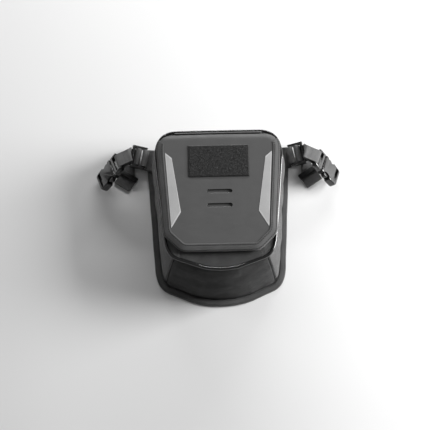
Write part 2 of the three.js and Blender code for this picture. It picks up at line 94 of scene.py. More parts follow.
Z = 2
WALL_FOOT, WALL_TOP = span("front_wall", Z)
FLANGE_TOP = span("base_binding", Z)[1]
DECK_TOP = span("top_deck", Z)[1]
LID_UNDER = span("lid_lining", Z)[0]
LID_LOW, LID_TOP = span("lid_shell", Z)
LID_EDGE = LID_TOP - 2.4
PIPING_Z = sum(span("rim_piping", Z)) / 2
PIPING_R = span("rim_piping", Z)[1] - PIPING_Z
FLANGE = 9
WALL_INSET = 9.3
RIM_INSET = 0.6
BULGE = 2
WALL = 1.5
MOUTH_INSET = 14
BINDING = 9.3
BINDING_END_Y = span("lid_binding", 1)[1]
STITCH = 3.2
REFLECTOR = [[70.6, 70.2], [61.9, 62.6], [50.6, -13.6], [63.3, -35.4]]
SLOTS_Y = (14.7, -4.8)
SEAM_X = 53
REAR_SEAM, FRONT_SEAM = [[76.8, -87.6], [62.4, -75.9]], [[75.2, 106.2], [73.2, 102.7]]
# The cloth simulation: its pressure, how far a point may move, and how often that is smoothed.
PRESSURE, FURTHEST, SMOOTHING = 0.02, 1.4, 4

WEB = 25
WEB_THICK = 1.6
WING = (96.6, 94.5, 5.4, 10)
LOCK_STEP = (5.8, 4.7)
LOCK_PITCH = 10
BAR = (135.5, 81, 35.2, -40, -38, -32)
LOOP_LIFT = 34
LOOP_R = 3.0
TAIL = [[117, 88.5, 3.2], [120, 82, 2.7], [123.5, 74, 2.5], [128.5, 65.5, 2], [134, 57, 1.5]]
TAIL_HEADING = -57
KEEPER = (124.4, 72.6, 2.6, -57, -2)


# ---------------------------------------------------------------- outlines
class Outline:
    """A convex closed outline, kept as its straight edges, so that it can be sampled at any inset."""

    def __init__(self, half, steps=24):
        walk = [np.array(half[0], float)]
        for stretch in half[1:]:
            end = np.array(stretch[-2:], float)
            if len(stretch) == 4:
                start, bend = walk[-1], np.array(stretch[:2], float)
                for t in np.linspace(0, 1, steps + 1)[1:]:
                    walk.append(start * (1 - t) ** 2 + bend * 2 * t * (1 - t) + end * t * t)
            else:
                walk.append(end)
        right = np.array([p for p in walk if p[0] > -1e-6])
        left = right[right[:, 0] > 1e-6][::-1] * [-1, 1]
        corners = np.vstack([right, left])
        along = np.roll(corners, -1, axis=0) - corners
        along /= np.linalg.norm(along, axis=1)[:, None]
        self.normals = np.c_[-along[:, 1], along[:, 0]]
        self.distances = ((corners - CENTRE) * self.normals).sum(axis=1)

    def at(self, angles, inset=0.0):
        """The points that the centre sees at each angle, on the outline moved inwards by inset."""
        rays = np.c_[np.sin(angles), np.cos(angles)]
        facing = rays @ self.normals.T
        inset = np.broadcast_to(inset, angles.shape)
        reach = (self.distances[None, :] - inset[:, None]) / np.maximum(facing, 1e-6)
        reach[facing < 1e-6] = np.inf
        return CENTRE + rays * reach.min(axis=1)[:, None]

    def angles(self, count, start=0.0, end=2 * math.pi):
        """Angles that are evenly spaced along the outline; a full turn leaves out its last, equal one."""
        fine = np.linspace(start, end, 4000)
        steps = np.linalg.norm(np.diff(self.at(fine), axis=0), axis=1)
        length = np.r_[0, np.cumsum(steps)]
        whole = end - start > 6.28
        return np.interp(np.linspace(0, length[-1], count, endpoint=not whole), length, fine)


def angle_of(x, y):
    """The angle at which the centre sees a place."""
    return math.atan2(x, y - CENTRE[1]) % (2 * math.pi)


CENTRE = np.array([0.0, 8.0])
SIDES = ("right", 1), ("left", -1)
BASE, RIM, LID = Outline(BASE_HALF), Outline(RIM_HALF), Outline(LID_HALF)


def skin(angles, height, depth):
    """Points of the bag's side at heights from 0, the foot, to 1, the rim, a depth inside its face."""
    stand_out = 4 * height * (1 - height) * BULGE - depth
    foot = BASE.at(angles.ravel(), (WALL_INSET - stand_out).ravel())
    head = RIM.at(angles.ravel(), (RIM_INSET - stand_out).ravel())
    t = height.ravel()[:, None]
    z = WALL_FOOT + (WALL_TOP - WALL_FOOT) * t
    return np.hstack([foot * (1 - t) + head * t, z])


# ---------------------------------------------------------------- mesh helpers
def smoothstep(x, low=0.0, high=1.0):
    t = np.clip((np.asarray(x, float) - low) / (high - low), 0, 1)
    return t * t * (3 - 2 * t)


def ripple(points, wavelength, seed, waves=9):
    """Smooth, repeatable unevenness of about -1 to 1, one wavelength (or one for each axis) across."""
    rng = np.random.default_rng(seed)
    directions = unit(rng.normal(size=(waves, 3)))
    directions *= rng.uniform(0.7, 1.4, waves)[:, None]
    phases = rng.uniform(0, 2 * math.pi, waves)
    turns = (points / wavelength) @ directions.T
    return np.sin(2 * math.pi * turns + phases).sum(axis=1) / math.sqrt(waves)


def unit(vectors):
    return vectors / np.linalg.norm(vectors, axis=-1, keepdims=True)


def distance_along(points):
    """The distance from the first point to each, along the points."""
    return np.r_[0, np.cumsum(np.linalg.norm(np.diff(points, axis=0), axis=1))]


def grid_faces(rows, columns, closed_rows=False, closed_columns=False):
    """The quads of a grid of points, which may join up along either way."""
    index = np.arange(rows * columns).reshape(rows, columns)
    if closed_rows:
        index = np.vstack([index, index[:1]])
    if closed_columns:
        index = np.hstack([index, index[:, :1]])
    corners = [index[:-1, :-1], index[:-1, 1:], index[1:, 1:], index[1:, :-1]]
    return np.stack(corners, axis=-1).reshape(-1, 4)


def cloth_grid(along, over):
    """Places on flat cloth for a grid of points, row by row."""
    return np.c_[np.tile(along, len(over)), np.repeat(over, len(along))]


def capped(rows, columns):
    """A stack of closed rings, with a face over its first and its last one."""
    last = (rows - 1) * columns
    faces = grid_faces(rows, columns, False, True).tolist()
    return faces + [list(range(columns)), list(range(last, last + columns))]


def end_faces(rows, columns):
    """The faces over the two ends of a closed section that is swept over the columns."""
    return [[row * columns for row in range(rows)], [row * columns + columns - 1 for row in range(rows)]]


def ring(outline, angles, inset, z):
    """An outline's points at one inset and one height."""
    return np.c_[outline.at(angles, inset), np.full(len(angles), float(z))]


def subdivide(made):
    """Adds one level of subdivision."""
    finer = made.modifiers.new("Finer", "SUBSURF")
    finer.levels = finer.render_levels = 1


def thicken(made, thickness, offset):
    """Gives a sheet its thickness, in millimetres."""
    solid = made.modifiers.new("Thickness", "SOLIDIFY")
    solid.thickness = thickness * MM
    solid.offset = offset


def piece(name, body, points, faces, look, cloth=None, replaces=()):
    """A mesh piece riding on a body; cloth gives each point's place on the flat cloth, for the weave."""
    mesh = bpy.data.meshes.new(name)
    mesh.from_pydata((np.asarray(points) * MM).tolist(), [], [list(map(int, f)) for f in faces])
    if cloth is not None:
        attribute = mesh.attributes.new("cloth", "FLOAT_VECTOR", "POINT")
        flat = np.zeros((len(points), 3))
        flat[:, :2] = cloth
        attribute.data.foreach_set("vector", (flat * MM).ravel())
    tidy = bmesh.new()
    tidy.from_mesh(mesh)
    bmesh.ops.recalc_face_normals(tidy, faces=tidy.faces)
    tidy.to_mesh(mesh)
    tidy.free()
    mesh.shade_smooth()
    mesh.materials.append(look)
    made = bpy.data.objects.new(name, mesh)
    bpy.context.scene.collection.objects.link(made)
    if body:
        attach(made, body)
    if replaces:
        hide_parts(*replaces)
    return made


def scatter(template, places):
    """Points and faces of many copies of a small template, one for each 4 x 4 matrix in places."""
    points, faces = template
    copies = np.einsum("nij,kj->nki", places[:, :3, :3], points) + places[:, None, :3, 3]
    first = np.arange(len(places)) * len(points)
    return copies.reshape(-1, 3), (faces[None] + first[:, None, None]).reshape(-1, faces.shape[1])


def frames(origins, along, up):
    """A 4 x 4 matrix for each origin, from its x axis and about its z axis, at those lengths."""
    side = unit(np.cross(up, along)) * np.linalg.norm(up, axis=1)[:, None]
    places = np.zeros((len(origins), 4, 4))
    places[:, :3, 0], places[:, :3, 1], places[:, :3, 2] = along, side, up
    places[:, :3, 3], places[:, 3, 3] = origins, 1
    return places


def ball():
    """The points and faces of a small round template, for stitches and dots."""
    made = bmesh.new()
    bmesh.ops.create_icosphere(made, subdivisions=1, radius=1)
    points = np.array([v.co for v in made.verts])
    faces = np.array([[v.index for v in f.verts] for f in made.faces])
    made.free()
    return points, faces


BALL = ball()


def stitches(path, up, closed=False, pitch=STITCH, thick=0.62):
    """Matrices for a row of stitches along a path of points, standing out along up."""
    path = np.asarray(path, float)
    if closed:
        path = np.vstack([path, path[:1]])
    steps = distance_along(path)
    count = max(int(steps[-1] / pitch), 1)
    middles = (np.arange(count) + 0.5) * steps[-1] / count
    spot = lambda s: np.stack([np.interp(s, steps, path[:, k]) for k in range(3)], axis=1)
    along = unit(spot(middles + 0.4) - spot(middles - 0.4))
    up = np.broadcast_to(np.asarray(up, float), along.shape)
    up = unit(up - (up * along).sum(axis=1)[:, None] * along)
    return frames(spot(middles), along * pitch * 0.37, up * thick / 2)


def sewing(name, body, rows, mirror=1):
    """A piece of thread, made of rows of stitches."""
    points, faces = scatter(BALL, np.concatenate(rows))
    piece(name, body, points * [mirror, 1, 1], faces, THREAD)


# ---------------------------------------------------------------- materials
class Look:
    """A node material under construction: each method adds nodes and gives back their output."""

    def __init__(self, name, color, roughness, **constants):
        self.material = bpy.data.materials.new(name)
        self.material.use_nodes = True
        self.tree = self.material.node_tree
        self.shader = self.tree.nodes["Principled BSDF"]
        self.shader.inputs["Base Color"].default_value = (*color, 1)
        self.shader.inputs["Roughness"].default_value = roughness
        for socket, value in constants.items():
            self.shader.inputs[socket.replace("_", " ")].default_value = value
        self.color, self.roughness, self.bumps = color, roughness, None

    def node(self, kind, output=0, settings=None, **inputs):
        made = self.tree.nodes.new("ShaderNode" + kind)
        for key, value in (settings or {}).items():
            setattr(made, key, value)
        for key, value in inputs.items():
            socket = made.inputs[int(key[1:])] if key[0] == "i" else made.inputs[key.replace("_", " ")]
            if isinstance(value, bpy.types.NodeSocket):
                self.tree.links.new(value, socket)
            else:
                socket.default_value = value
        return made.outputs[output]

    def math(self, operation, a, b=0.0):
        return self.node("Math", settings={"operation": operation}, i0=a, i1=b)

    def cloth(self):
        """The place on the flat cloth, in metres."""
        return self.node("Attribute", "Vector", {"attribute_name": "cloth"})

    def solid(self):
        """The place in the object, in metres."""
        return self.node("TexCoord", "Object")

    def noise(self, where, size, detail=2.0, stretch=(1, 1, 1)):
        """Noise of about 0.5 whose blotches are size millimetres across."""
        scaled = self.node("VectorMath", settings={"operation": "MULTIPLY"}, i0=where, i1=stretch)
        return self.node("TexNoise", "Fac", Vector=scaled, Scale=1 / (size * MM), Detail=detail)

    def across(self, where, pitch_u, pitch_v):
        """The two places on the cloth, counted in threads."""
        scale = (1 / (pitch_u * MM), 1 / (pitch_v * MM), 0)
        scaled = self.node("VectorMath", settings={"operation": "MULTIPLY"}, i0=where, i1=scale)
        parts = self.tree.nodes.new("ShaderNodeSeparateXYZ")
        self.tree.links.new(scaled, parts.inputs[0])
        return parts.outputs[0], parts.outputs[1]

    def wave(self, turns):
        """|sin| of a number of half turns: 1 at the middle of a thread and 0 between threads."""
        return self.math("ABSOLUTE", self.math("SINE", self.math("MULTIPLY", turns, math.pi)))

    def weave(self, where, pitch):
        """The height of a plain weave: threads that go over and under each other in turn."""
        u, v = self.across(where, pitch, pitch)
        over_u, over_v = self.wave(u), self.wave(v)
        both = self.math("ADD", self.math("FLOOR", u), self.math("FLOOR", v))
        odd = self.math("FLOORED_MODULO", both, 2.0)
        first = self.math("MULTIPLY", over_u, self.math("POWER", over_v, 0.35))
        second = self.math("MULTIPLY", over_v, self.math("POWER", over_u, 0.35))
        return self.node("Mix", 0, {"data_type": "FLOAT"}, i0=odd, i2=first, i3=second)

    def bump(self, height, depth, strength=1.0):
        """Adds relief of a depth in millimetres to what is there already."""
        extra = {} if self.bumps is None else {"Normal": self.bumps}
        self.bumps = self.node("Bump", Height=height, Distance=depth * MM, Strength=strength, **extra)
        self.tree.links.new(self.bumps, self.shader.inputs["Normal"])

    def tint(self, amount, low, high, spread=(0.3, 0.7)):
        """Multiplies the base colour by low to high as amount goes over spread."""
        factor = self.node("MapRange", 0, i0=amount, i1=spread[0], i2=spread[1], i3=low, i4=high)
        socket = self.shader.inputs["Base Color"]
        before = socket.links[0].from_socket if socket.is_linked else (*self.color, 1)
        made = self.node("VectorMath", settings={"operation": "SCALE"}, Vector=before
                         if isinstance(before, bpy.types.NodeSocket) else self.color, Scale=factor)
        self.tree.links.new(made, socket)

    def gloss(self, amount, low, high, spread=(0.3, 0.7)):
        """Roughness from low to high as amount goes over spread."""
        made = self.node("MapRange", 0, i0=amount, i1=spread[0], i2=spread[1], i3=low, i4=high)
        self.tree.links.new(made, self.shader.inputs["Roughness"])


def grey(level):
    """A linear grey from a display level of 0 to 255."""
    value = ((level / 255 + 0.055) / 1.055) ** 2.4 if level > 10 else level / 255 / 12.92
    return value, value, value


def woven(name, level, pitch, depth, roughness=0.75, sheen=0.25, contrast=(0.6, 1.25)):
    """A plain-woven cloth with slubs, fading and fine fuzz."""
    look = Look(name, grey(level), roughness, Sheen_Weight=sheen, Sheen_Roughness=0.4,
                Specular_IOR_Level=0.35)
    cloth = look.cloth()
    threads = look.weave(cloth, pitch)
    look.tint(threads, *contrast, spread=(0.1, 0.9))
    look.tint(look.noise(cloth, pitch * 1.3, 1.0, (1, 6, 1)), 0.88, 1.12)
    look.tint(look.noise(look.solid(), 38, 3.0), 0.86, 1.16)
    look.gloss(look.noise(look.solid(), 9, 2.0), roughness - 0.08, min(roughness + 0.1, 1))
    look.bump(look.noise(cloth, 5, 2.0), 0.25, 0.5)
    look.bump(threads, depth)
    return look.material


def twill_tape(name, level):
    """Binding tape: fine ribs across it, with a diagonal twill."""
    look = Look(name, grey(level), 0.78, Sheen_Weight=0.25, Sheen_Roughness=0.4, Specular_IOR_Level=0.35)
    cloth = look.cloth()
    u, v = look.across(cloth, 1.1, 1.1)
    ribs = look.wave(look.math("ADD", u, v))
    fine = look.wave(look.math("MULTIPLY", look.math("SUBTRACT", u, v), 1.7))
    height = look.math("ADD", look.math("MULTIPLY", ribs, 0.75), look.math("MULTIPLY", fine, 0.25))
    look.tint(height, 0.66, 1.2, spread=(0.1, 0.95))
    look.tint(look.noise(look.solid(), 26, 3.0), 0.88, 1.14)
    look.gloss(look.noise(look.solid(), 8, 2.0), 0.68, 0.88)
    look.bump(look.noise(cloth, 4, 2.0), 0.2, 0.5)
    look.bump(height, 0.2)
    return look.material


def strap_webbing(name, level):
    """Nylon webbing: ribs along it, crossed by rows that step from rib to rib."""
    look = Look(name, grey(level), 0.6, Sheen_Weight=0.2, Sheen_Roughness=0.35, Specular_IOR_Level=0.4)
    cloth = look.cloth()
    u, v = look.across(cloth, 1.5, 1.25)
    ribs = look.wave(v)
    step = look.math("MULTIPLY", look.math("FLOORED_MODULO", look.math("FLOOR", v), 2.0), 0.5)
    rows = look.wave(look.math("ADD", u, step))
    height = look.math("MULTIPLY", look.math("POWER", ribs, 0.6), look.math("POWER", rows, 0.5))
    look.tint(height, 0.55, 1.2, spread=(0.1, 0.95))
    look.tint(look.noise(look.solid(), 18, 3.0), 0.88, 1.12)
    look.bump(height, 0.24)
    return look.material


def moulded_panel(name, level):
    """Matt moulded skin: a very fine even grain, with faint handling marks."""
    look = Look(name, grey(level), 0.5, Specular_IOR_Level=0.35)
    solid = look.solid()
    grain = look.noise(solid, 0.55, 3.0)
    look.tint(look.noise(solid, 45, 3.0), 0.95, 1.05)
    look.tint(grain, 0.93, 1.07)
    smear = look.noise(solid, 12, 4.0, (1, 3, 1))
    look.gloss(smear, 0.44, 0.56)
    look.bump(grain, 0.06, 0.6)
    look.bump(look.noise(solid, 22, 1.0), 0.3, 0.25)
    return look.material


def reflective_film(name, level):
    """Glass-bead film: pale, faintly cellular, with a fine sparkle."""
    look = Look(name, grey(level), 0.38, Metallic=0.15)
    solid = look.solid()
    beads = look.node("TexVoronoi", "Distance", Vector=solid, Scale=1 / (0.7 * MM))
    look.tint(beads, 1.06, 0.9, spread=(0.0, 0.8))
    look.tint(look.noise(solid, 30, 2.0), 0.95, 1.05)
    look.gloss(look.noise(solid, 6, 3.0), 0.3, 0.46)
    look.bump(beads, 0.05, 0.5)
    return look.material


def moulded_black(name, level, roughness):
    """Acetal: black and glossy, with faint flow marks and scuffs, and a painted highlight that lightens its
    sharp edges.
    """
    look = Look(name, grey(level), roughness, Coat_Weight=0.6, Coat_Roughness=0.08)
    solid = look.solid()
    painted_edge_highlight = look.node("NewGeometry", "Pointiness")
    # Painted highlight: the colour is up to 2.4 times lighter on sharp convex edges, where they catch the
    # light.
    look.tint(painted_edge_highlight, 1.0, 2.4, spread=(0.51, 0.6))
    look.tint(look.noise(solid, 7, 3.0), 0.8, 1.25)
    scuffs = look.noise(solid, 1.6, 4.0, (1, 1, 7))
    look.gloss(scuffs, roughness, roughness + 0.16, spread=(0.45, 0.75))
    look.bump(look.noise(solid, 0.8, 2.0), 0.02, 0.5)
    look.bump(look.noise(solid, 9, 1.0), 0.08, 0.4)
    return look.material


def pile(name, level):
    """The cut and looped nylon of hook-and-loop tape: dark roots, lighter tips."""
    look = Look(name, grey(level), 0.85, Sheen_Weight=0.2, Sheen_Roughness=0.5)
    solid = look.solid()
    tufts = look.noise(solid, 1.1, 3.0)
    look.tint(tufts, 0.45, 1.9)
    look.tint(look.noise(solid, 0.35, 1.0), 0.7, 1.4)
    look.bump(tufts, 0.5)
    return look.material


def matt(name, level):
    """Rubber-faced cloth, board or thread: matt and faintly grained, with uneven dust."""
    look = Look(name, grey(level), 0.8)
    solid = look.solid()
    look.tint(look.noise(solid, 30, 4.0), 0.85, 1.3)
    grain = look.noise(solid, 0.9, 2.0)
    look.tint(grain, 0.85, 1.15)
    look.bump(grain, 0.12)
    return look.material


def open_foam(name, level):
    """Open-cell foam: small round hollows."""
    look = Look(name, grey(level), 0.95)
    cells = look.node("TexVoronoi", "Distance", Vector=look.solid(), Scale=1 / (1.4 * MM))
    look.tint(cells, 0.6, 1.2, spread=(0.0, 0.6))
    look.bump(cells, 0.4)
    return look.material


def pale_floor(name, level):
    """The studio floor, almost even."""
    look = Look(name, grey(level), 0.6)
    look.tint(look.noise(look.solid(), 300, 2.0), 0.99, 1.01)
    return look.material


SHELL = woven("shell_cloth", 77, 0.95, 0.3)
REAR = woven("rear_cloth", 36, 0.8, 0.18, roughness=0.82, sheen=0.1)
DECK_CLOTH = woven("deck_cloth", 54, 0.8, 0.16)
LINING = woven("lining_cloth", 96, 0.5, 0.08, roughness=0.6, sheen=0.1, contrast=(0.8, 1.1))
TAPE = twill_tape("binding_tape", 76)
FLANGE_TAPE = twill_tape("flange_tape", 68)
WEBBING = strap_webbing("webbing", 82)
ELASTIC = strap_webbing("elastic", 24)
MOULDED = moulded_panel("moulded_skin", 72)
FILM = reflective_film("reflective_film", 165)
# A lighter copy of the reflective film: a painted highlight for the panels' raised rims.
FILM_RIM_HIGHLIGHT = reflective_film("reflective_rim_highlight", 185)
ACETAL = moulded_black("acetal", 20, 0.17)
PIPING = moulded_black("piping_skin", 16, 0.13)
THREAD = matt("thread", 12)
PILE = pile("pile", 6)
RUBBER = matt("rubber", 30)
BOARD = matt("board", 40)
FOAM = open_foam("foam", 90)


# ---------------------------------------------------------------- the soft body
def cloth_place(points, rows, columns, rise):
    """Each grid point's place on the flat cloth: the distance along the middle row, and the height."""
    return cloth_grid(distance_along(points.reshape(rows, columns, 3)[rows // 2]), rise)


def settle(made, loose, rows):
    """Lets a sewn panel fill as cloth; loose is how free each point is, 0 on its seams."""
    before = np.array([v.co for v in made.data.vertices])
    pins = made.vertex_groups.new(name="sewn")
    for index, free in enumerate(loose):
        pins.add([index], float(1 - free), "REPLACE")
    cloth = made.modifiers.new("Cloth", "CLOTH")
    settings = cloth.settings
    settings.quality = 6
    settings.mass = 0.02
    settings.tension_stiffness = settings.compression_stiffness = 12
    settings.shear_stiffness = 4
    settings.bending_stiffness = 0.08
    settings.shrink_min = -0.012
    settings.use_pressure = True
    settings.uniform_pressure_force = PRESSURE
    settings.effector_weights.gravity = 0
    settings.vertex_group_mass = "sewn"
    settings.pin_stiffness = 2
    cloth.collision_settings.use_collision = False
    scene = bpy.context.scene
    for number in range(1, 23):
        scene.frame_set(number)
    shape = made.evaluated_get(bpy.context.evaluated_depsgraph_get())
    after = np.array([v.co for v in shape.data.vertices])
    made.modifiers.remove(cloth)
    made.vertex_groups.remove(pins)
    moved = after - before
    far = np.linalg.norm(moved, axis=1)
    cap = FURTHEST * MM
    moved *= (cap * np.tanh(far / cap) / np.maximum(far, 1e-9))[:, None]
    moved = moved.reshape(rows, -1, 3)
    for _ in range(SMOOTHING):
        moved[1:-1, 1:-1] = (moved[1:-1, 1:-1] + moved[:-2, 1:-1] + moved[2:, 1:-1] + moved[1:-1, :-2]
                             + moved[1:-1, 2:]) / 5
    moved = moved.reshape(-1, 3)
    made.data.vertices.foreach_set("co", (before + moved).ravel())
    made.data.update()
    scene.frame_set(1)


def wall_panel(name, node, first, last, look, seed, folds):
    """A side panel between two seams, each given by its angle at the foot and at the rim."""
    rows = 42
    columns = int(abs(last[1] - first[1]) * 62) + 8
    even = np.linspace(0, 1, columns)
    closer = 0.4 * even + 0.6 * (0.5 - 0.5 * np.cos(math.pi * even))
    v, u = np.meshgrid(np.linspace(0, 1, rows), closer, indexing="ij")
    start = first[0] + (first[1] - first[0]) * v
    end = last[0] + (last[1] - last[0]) * v
    angles = start + (end - start) * u
    flat = skin(angles, v, np.zeros_like(v))
    width = distance_along(flat.reshape(rows, columns, 3)[rows // 2])[-1]
    to_seam = np.minimum(u, 1 - u).ravel() * width
    to_edge = np.minimum(v, 1 - v).ravel() * (WALL_TOP - WALL_FOOT)
    depth = 1.7 * np.exp(-(to_seam / 1.3) ** 2) + 0.9 * np.exp(-(to_edge / 1.8) ** 2)
    loose = smoothstep(to_seam, 0.5, 6) * smoothstep(to_edge, 0.5, 6)
    puckers = ripple(flat, (5.5, 5.5, 5.5), seed + 1)
    depth += 0.2 * puckers * np.exp(-np.minimum(to_seam, to_edge) / 5)
    depth += folds(flat, loose)
    points = skin(angles, v, depth.reshape(v.shape))
    cloth = cloth_place(flat, rows, columns, v[:, 0] * (WALL_TOP - WALL_FOOT))
    made = piece(name, "bag", points, grid_faces(rows, columns), look, cloth, [node])
    settle(made, loose, rows)
    thicken(made, WALL, -1)
    subdivide(made)


def seam_line(name, angle_pair, mirror):
    """A seam between two panels: a dark line of thread sunk in it, and a row of stitches beside it."""
    height = np.linspace(0.02, 0.985, 60)
    angles = angle_pair[0] + (angle_pair[1] - angle_pair[0]) * height
    sunk = skin(angles, height, np.full_like(height, 1.25))
    beside = skin(angles - 0.022, height, np.full_like(height, 0.15))
    out = sunk - np.array([*CENTRE, 0])
    out = out.mean(axis=0) * [1, 1, 0]
    rows = [stitches(sunk, out, pitch=1.2, thick=1.1), stitches(beside, out, pitch=2.8)]
    sewing(name, "bag", rows, mirror=mirror)


def faint_folds(seed, deep, wavelength):
    """Uneven slackness, at most about deep."""
    return lambda flat, loose: deep * loose * ripple(flat, wavelength, seed)


def gusset_folds(seed):
    """Faint vertical slackness, with one short slanting crease at mid height."""
    def folds(flat, loose):
        across = (flat[:, 1] - 4) * 0.75 + (flat[:, 2] - 45) * 0.66
        along = (flat[:, 2] - 45) * 0.75 - (flat[:, 1] - 4) * 0.66
        crease = 0.9 * np.exp(-(across / 1.6) ** 2 - (along / 9) ** 2)
        return loose * (0.55 * ripple(flat, (60, 30, 75), seed) + crease)
    return folds


def build_walls():
    """The rear, side and front panels, with a seam at each corner."""
    rear, front = ([angle_of(*end) for end in seam] for seam in (REAR_SEAM, FRONT_SEAM))
    turn = 2 * math.pi
    other = lambda seam: (turn - seam[0], turn - seam[1])
    past = lambda seam: (seam[0] + turn, seam[1] + turn)
    slack = faint_folds(31, 0.55, (64, 60, 34))
    wall_panel("rear_panel", "rear_wall", rear, other(rear), REAR, 3, slack)
    wall_panel("gusset_panel_right", "gusset_right", front, rear, SHELL, 5, gusset_folds(7))
    wall_panel("gusset_panel_left", "gusset_left", other(rear), other(front), SHELL, 9,
               gusset_folds(11))
    slack = faint_folds(13, 0.5, (70, 60, 30))
    wall_panel("front_panel", "front_wall", other(front), past(front), SHELL, 15, slack)
    for side, mirror in SIDES:
        seam_line(f"rear_seam_{side}", rear, mirror)
        seam_line(f"front_seam_{side}", front, mirror)


def ring_sweep(outline, profile, count, start=0.0, end=2 * math.pi, wobble=None):
    """A closed profile of (inset, height) points carried round an outline: points, faces, cloth places."""
    angles = outline.angles(count, start, end)
    whole = end - start > 6.28
    around = distance_along(outline.at(angles))
    over = distance_along(np.array(profile, float))
    rings = []
    for inset, z in profile:
        extra = wobble(around, inset, z) if wobble else np.zeros_like(around)
        rings.append(ring(outline, angles, inset + extra, z))
    points = np.vstack(rings)
    faces = grid_faces(len(profile), len(angles), True, whole).tolist()
    if not whole:
        faces += end_faces(len(profile), len(angles))
    return points, faces, cloth_grid(around, over)


def build_base():
    """The bound and stitched edge, the rubber-faced underside with its grip dots, and the board."""
    top = FLANGE_TOP
    profile = [(FLANGE, 0.3), (FLANGE + 0.05, top - 0.9), (FLANGE - 0.5, top - 0.15), (7.4, top),
               (5.6, top + 0.15), (3.2, top + 0.1), (1.5, top - 0.25), (0.5, top - 0.9), (0, top - 1.9),
               (0.1, 1.2), (0.7, 0.35), (2, 0.05), (5, 0), (8, 0.1)]
    wave = lambda around, inset, z: 0.16 * np.sin(around / 9.5 + 0.7 * np.sin(around / 31))
    points, faces, cloth = ring_sweep(BASE, profile, 420, wobble=wave)
    tape = piece("flange_tape", "bag", points, faces, FLANGE_TAPE, cloth, ["base_binding"])
    subdivide(tape)
    angles = BASE.angles(700)
    rows = []
    for inset, lift in ((7.3, 0.04), (1.9, -0.05)):
        rows.append(stitches(ring(BASE, angles, inset, top + lift), (0, 0, 1), closed=True))
    sewing("flange_stitches", "bag", rows)

    low = 0.35
    edge = FLANGE + 0.3
    sheet = [(edge, low), (edge, 1.2), (edge + 0.4, 1.6), (60, 1.6), (60, low)]
    count = 260
    points, faces, cloth = ring_sweep(BASE, sheet, count)
    middle = slice(3 * count, 4 * count)
    del faces[middle]
    faces += [list(range(3 * count, 4 * count)), list(range(4 * count, 5 * count))]
    rubber = piece("base_rubber", "bag", points, faces, RUBBER, cloth, ["base_panel"])
    pitch = 6.5
    x, y = np.meshgrid(np.arange(-90, 91, pitch), np.arange(-115, 116, pitch))
    x[1::2] += pitch / 2
    spots = np.c_[x.ravel(), y.ravel()]
    seen = np.array([angle_of(*spot) for spot in spots])
    reach = np.linalg.norm(BASE.at(seen, FLANGE + 3) - CENTRE, axis=1)
    spots = spots[np.linalg.norm(spots - CENTRE, axis=1) < reach]
    origins = np.c_[spots, np.full(len(spots), low + 0.05)]
    along, up = np.tile([1.5, 0, 0], (len(spots), 1)), np.tile([0, 0, 1.0], (len(spots), 1))
    places = frames(origins, along, up)
    places[:, :3, 1] *= 1.5
    places[:, :3, 2] *= 0.38
    points, faces = scatter(BALL, places)
    grips = piece("grip_dots", "bag", points, faces, RUBBER)
    grips.parent = rubber
    board = frame["nodes"]["base_board"]
    board.data.materials.clear()
    board.data.materials.append(BOARD)


def build_padding():
    """Foam behind the walls, a pad on the floor and the cloth lining that shows when the lid is open."""
    angles = RIM.angles(300)
    low_depth, high_depth = 2.1, 5.1
    rings = []
    section = [(low_depth, 0.0), (low_depth, 0.25), (low_depth, 0.5), (low_depth, 0.75), (low_depth, 0.985),
               (low_depth + 0.5, 1.0), (high_depth - 0.5, 1.0), (high_depth, 0.985), (high_depth, 0.75),
               (high_depth, 0.5), (high_depth, 0.25), (high_depth, 0.0)]
    for depth, height in section:
        rings.append(skin(angles, np.full(len(angles), height), np.full(len(angles), depth)))
    faces = grid_faces(len(section), len(angles), True, True)
    foam = piece("wall_foam", "bag", np.vstack(rings), faces, FOAM, None, ["foam_walls"])

    rise = WALL_TOP - WALL_FOOT
    level = lambda z, depth: skin(angles, np.full(len(angles), (z - WALL_FOOT) / rise),
                                  np.full(len(angles), depth))
    pad_low, pad_high = span("floor_pad", Z)
    section = [(pad_low, 7), (pad_low + 0.1, 5.9), (pad_low + 0.8, 5.5), (pad_high - 0.8, 5.5),
               (pad_high - 0.1, 6.1), (pad_high, 7.2)]
    points = np.vstack([level(z, depth) for z, depth in section])
    count = len(angles)
    pad = piece("floor_foam", "bag", points, capped(len(section), count), FOAM, None, ["floor_pad"])

    floor = span("inner_lining", Z)[0] + 0.9
    top = span("inner_lining", Z)[1]
    rings = [level(z, 5.6) for z in np.linspace(top, floor + 3.5, 34)]
    for share in (0.3, 0.6, 0.85, 1.0):
        turn = share * math.pi / 2
        rings.append(level(floor + 3.5 * (1 - math.sin(turn)), 5.6 + 3.5 * (1 - math.cos(turn))))
    last = rings[-1]
    middle = np.array([*CENTRE, floor])
    rings += [last + (middle - last) * share for share in np.linspace(0, 1, 26)[1:-1]]
    points = np.vstack(rings)
    inwards = unit(np.c_[CENTRE - points[:, :2], np.zeros(len(points))])
    slack = ripple(points, (34, 34, 20), 21) + 0.5 * ripple(points, (13, 13, 26), 22)
    on_wall = smoothstep(points[:, 2], floor + 2, floor + 14) * smoothstep(top - points[:, 2], 0, 8)
    points += inwards * (0.5 + 0.5 * slack * on_wall)[:, None]
    points[:, 2] += (1 - smoothstep(points[:, 2], floor + 0.5, floor + 3)) * (0.35 + 0.35 * slack)
    faces = grid_faces(len(rings), count, False, True).tolist()
    faces.append(list(range((len(rings) - 1) * count, len(rings) * count)))
    depth_down = np.r_[0, np.cumsum([np.linalg.norm(b[0] - a[0]) for a, b in zip(rings, rings[1:])])]
    around = np.arange(count) * 1.9
    cloth = cloth_grid(around, depth_down)
    tub = piece("lining_cloth", "bag", points, faces, LINING, cloth, ["inner_lining"])
    thicken(tub, 0.5, 1)


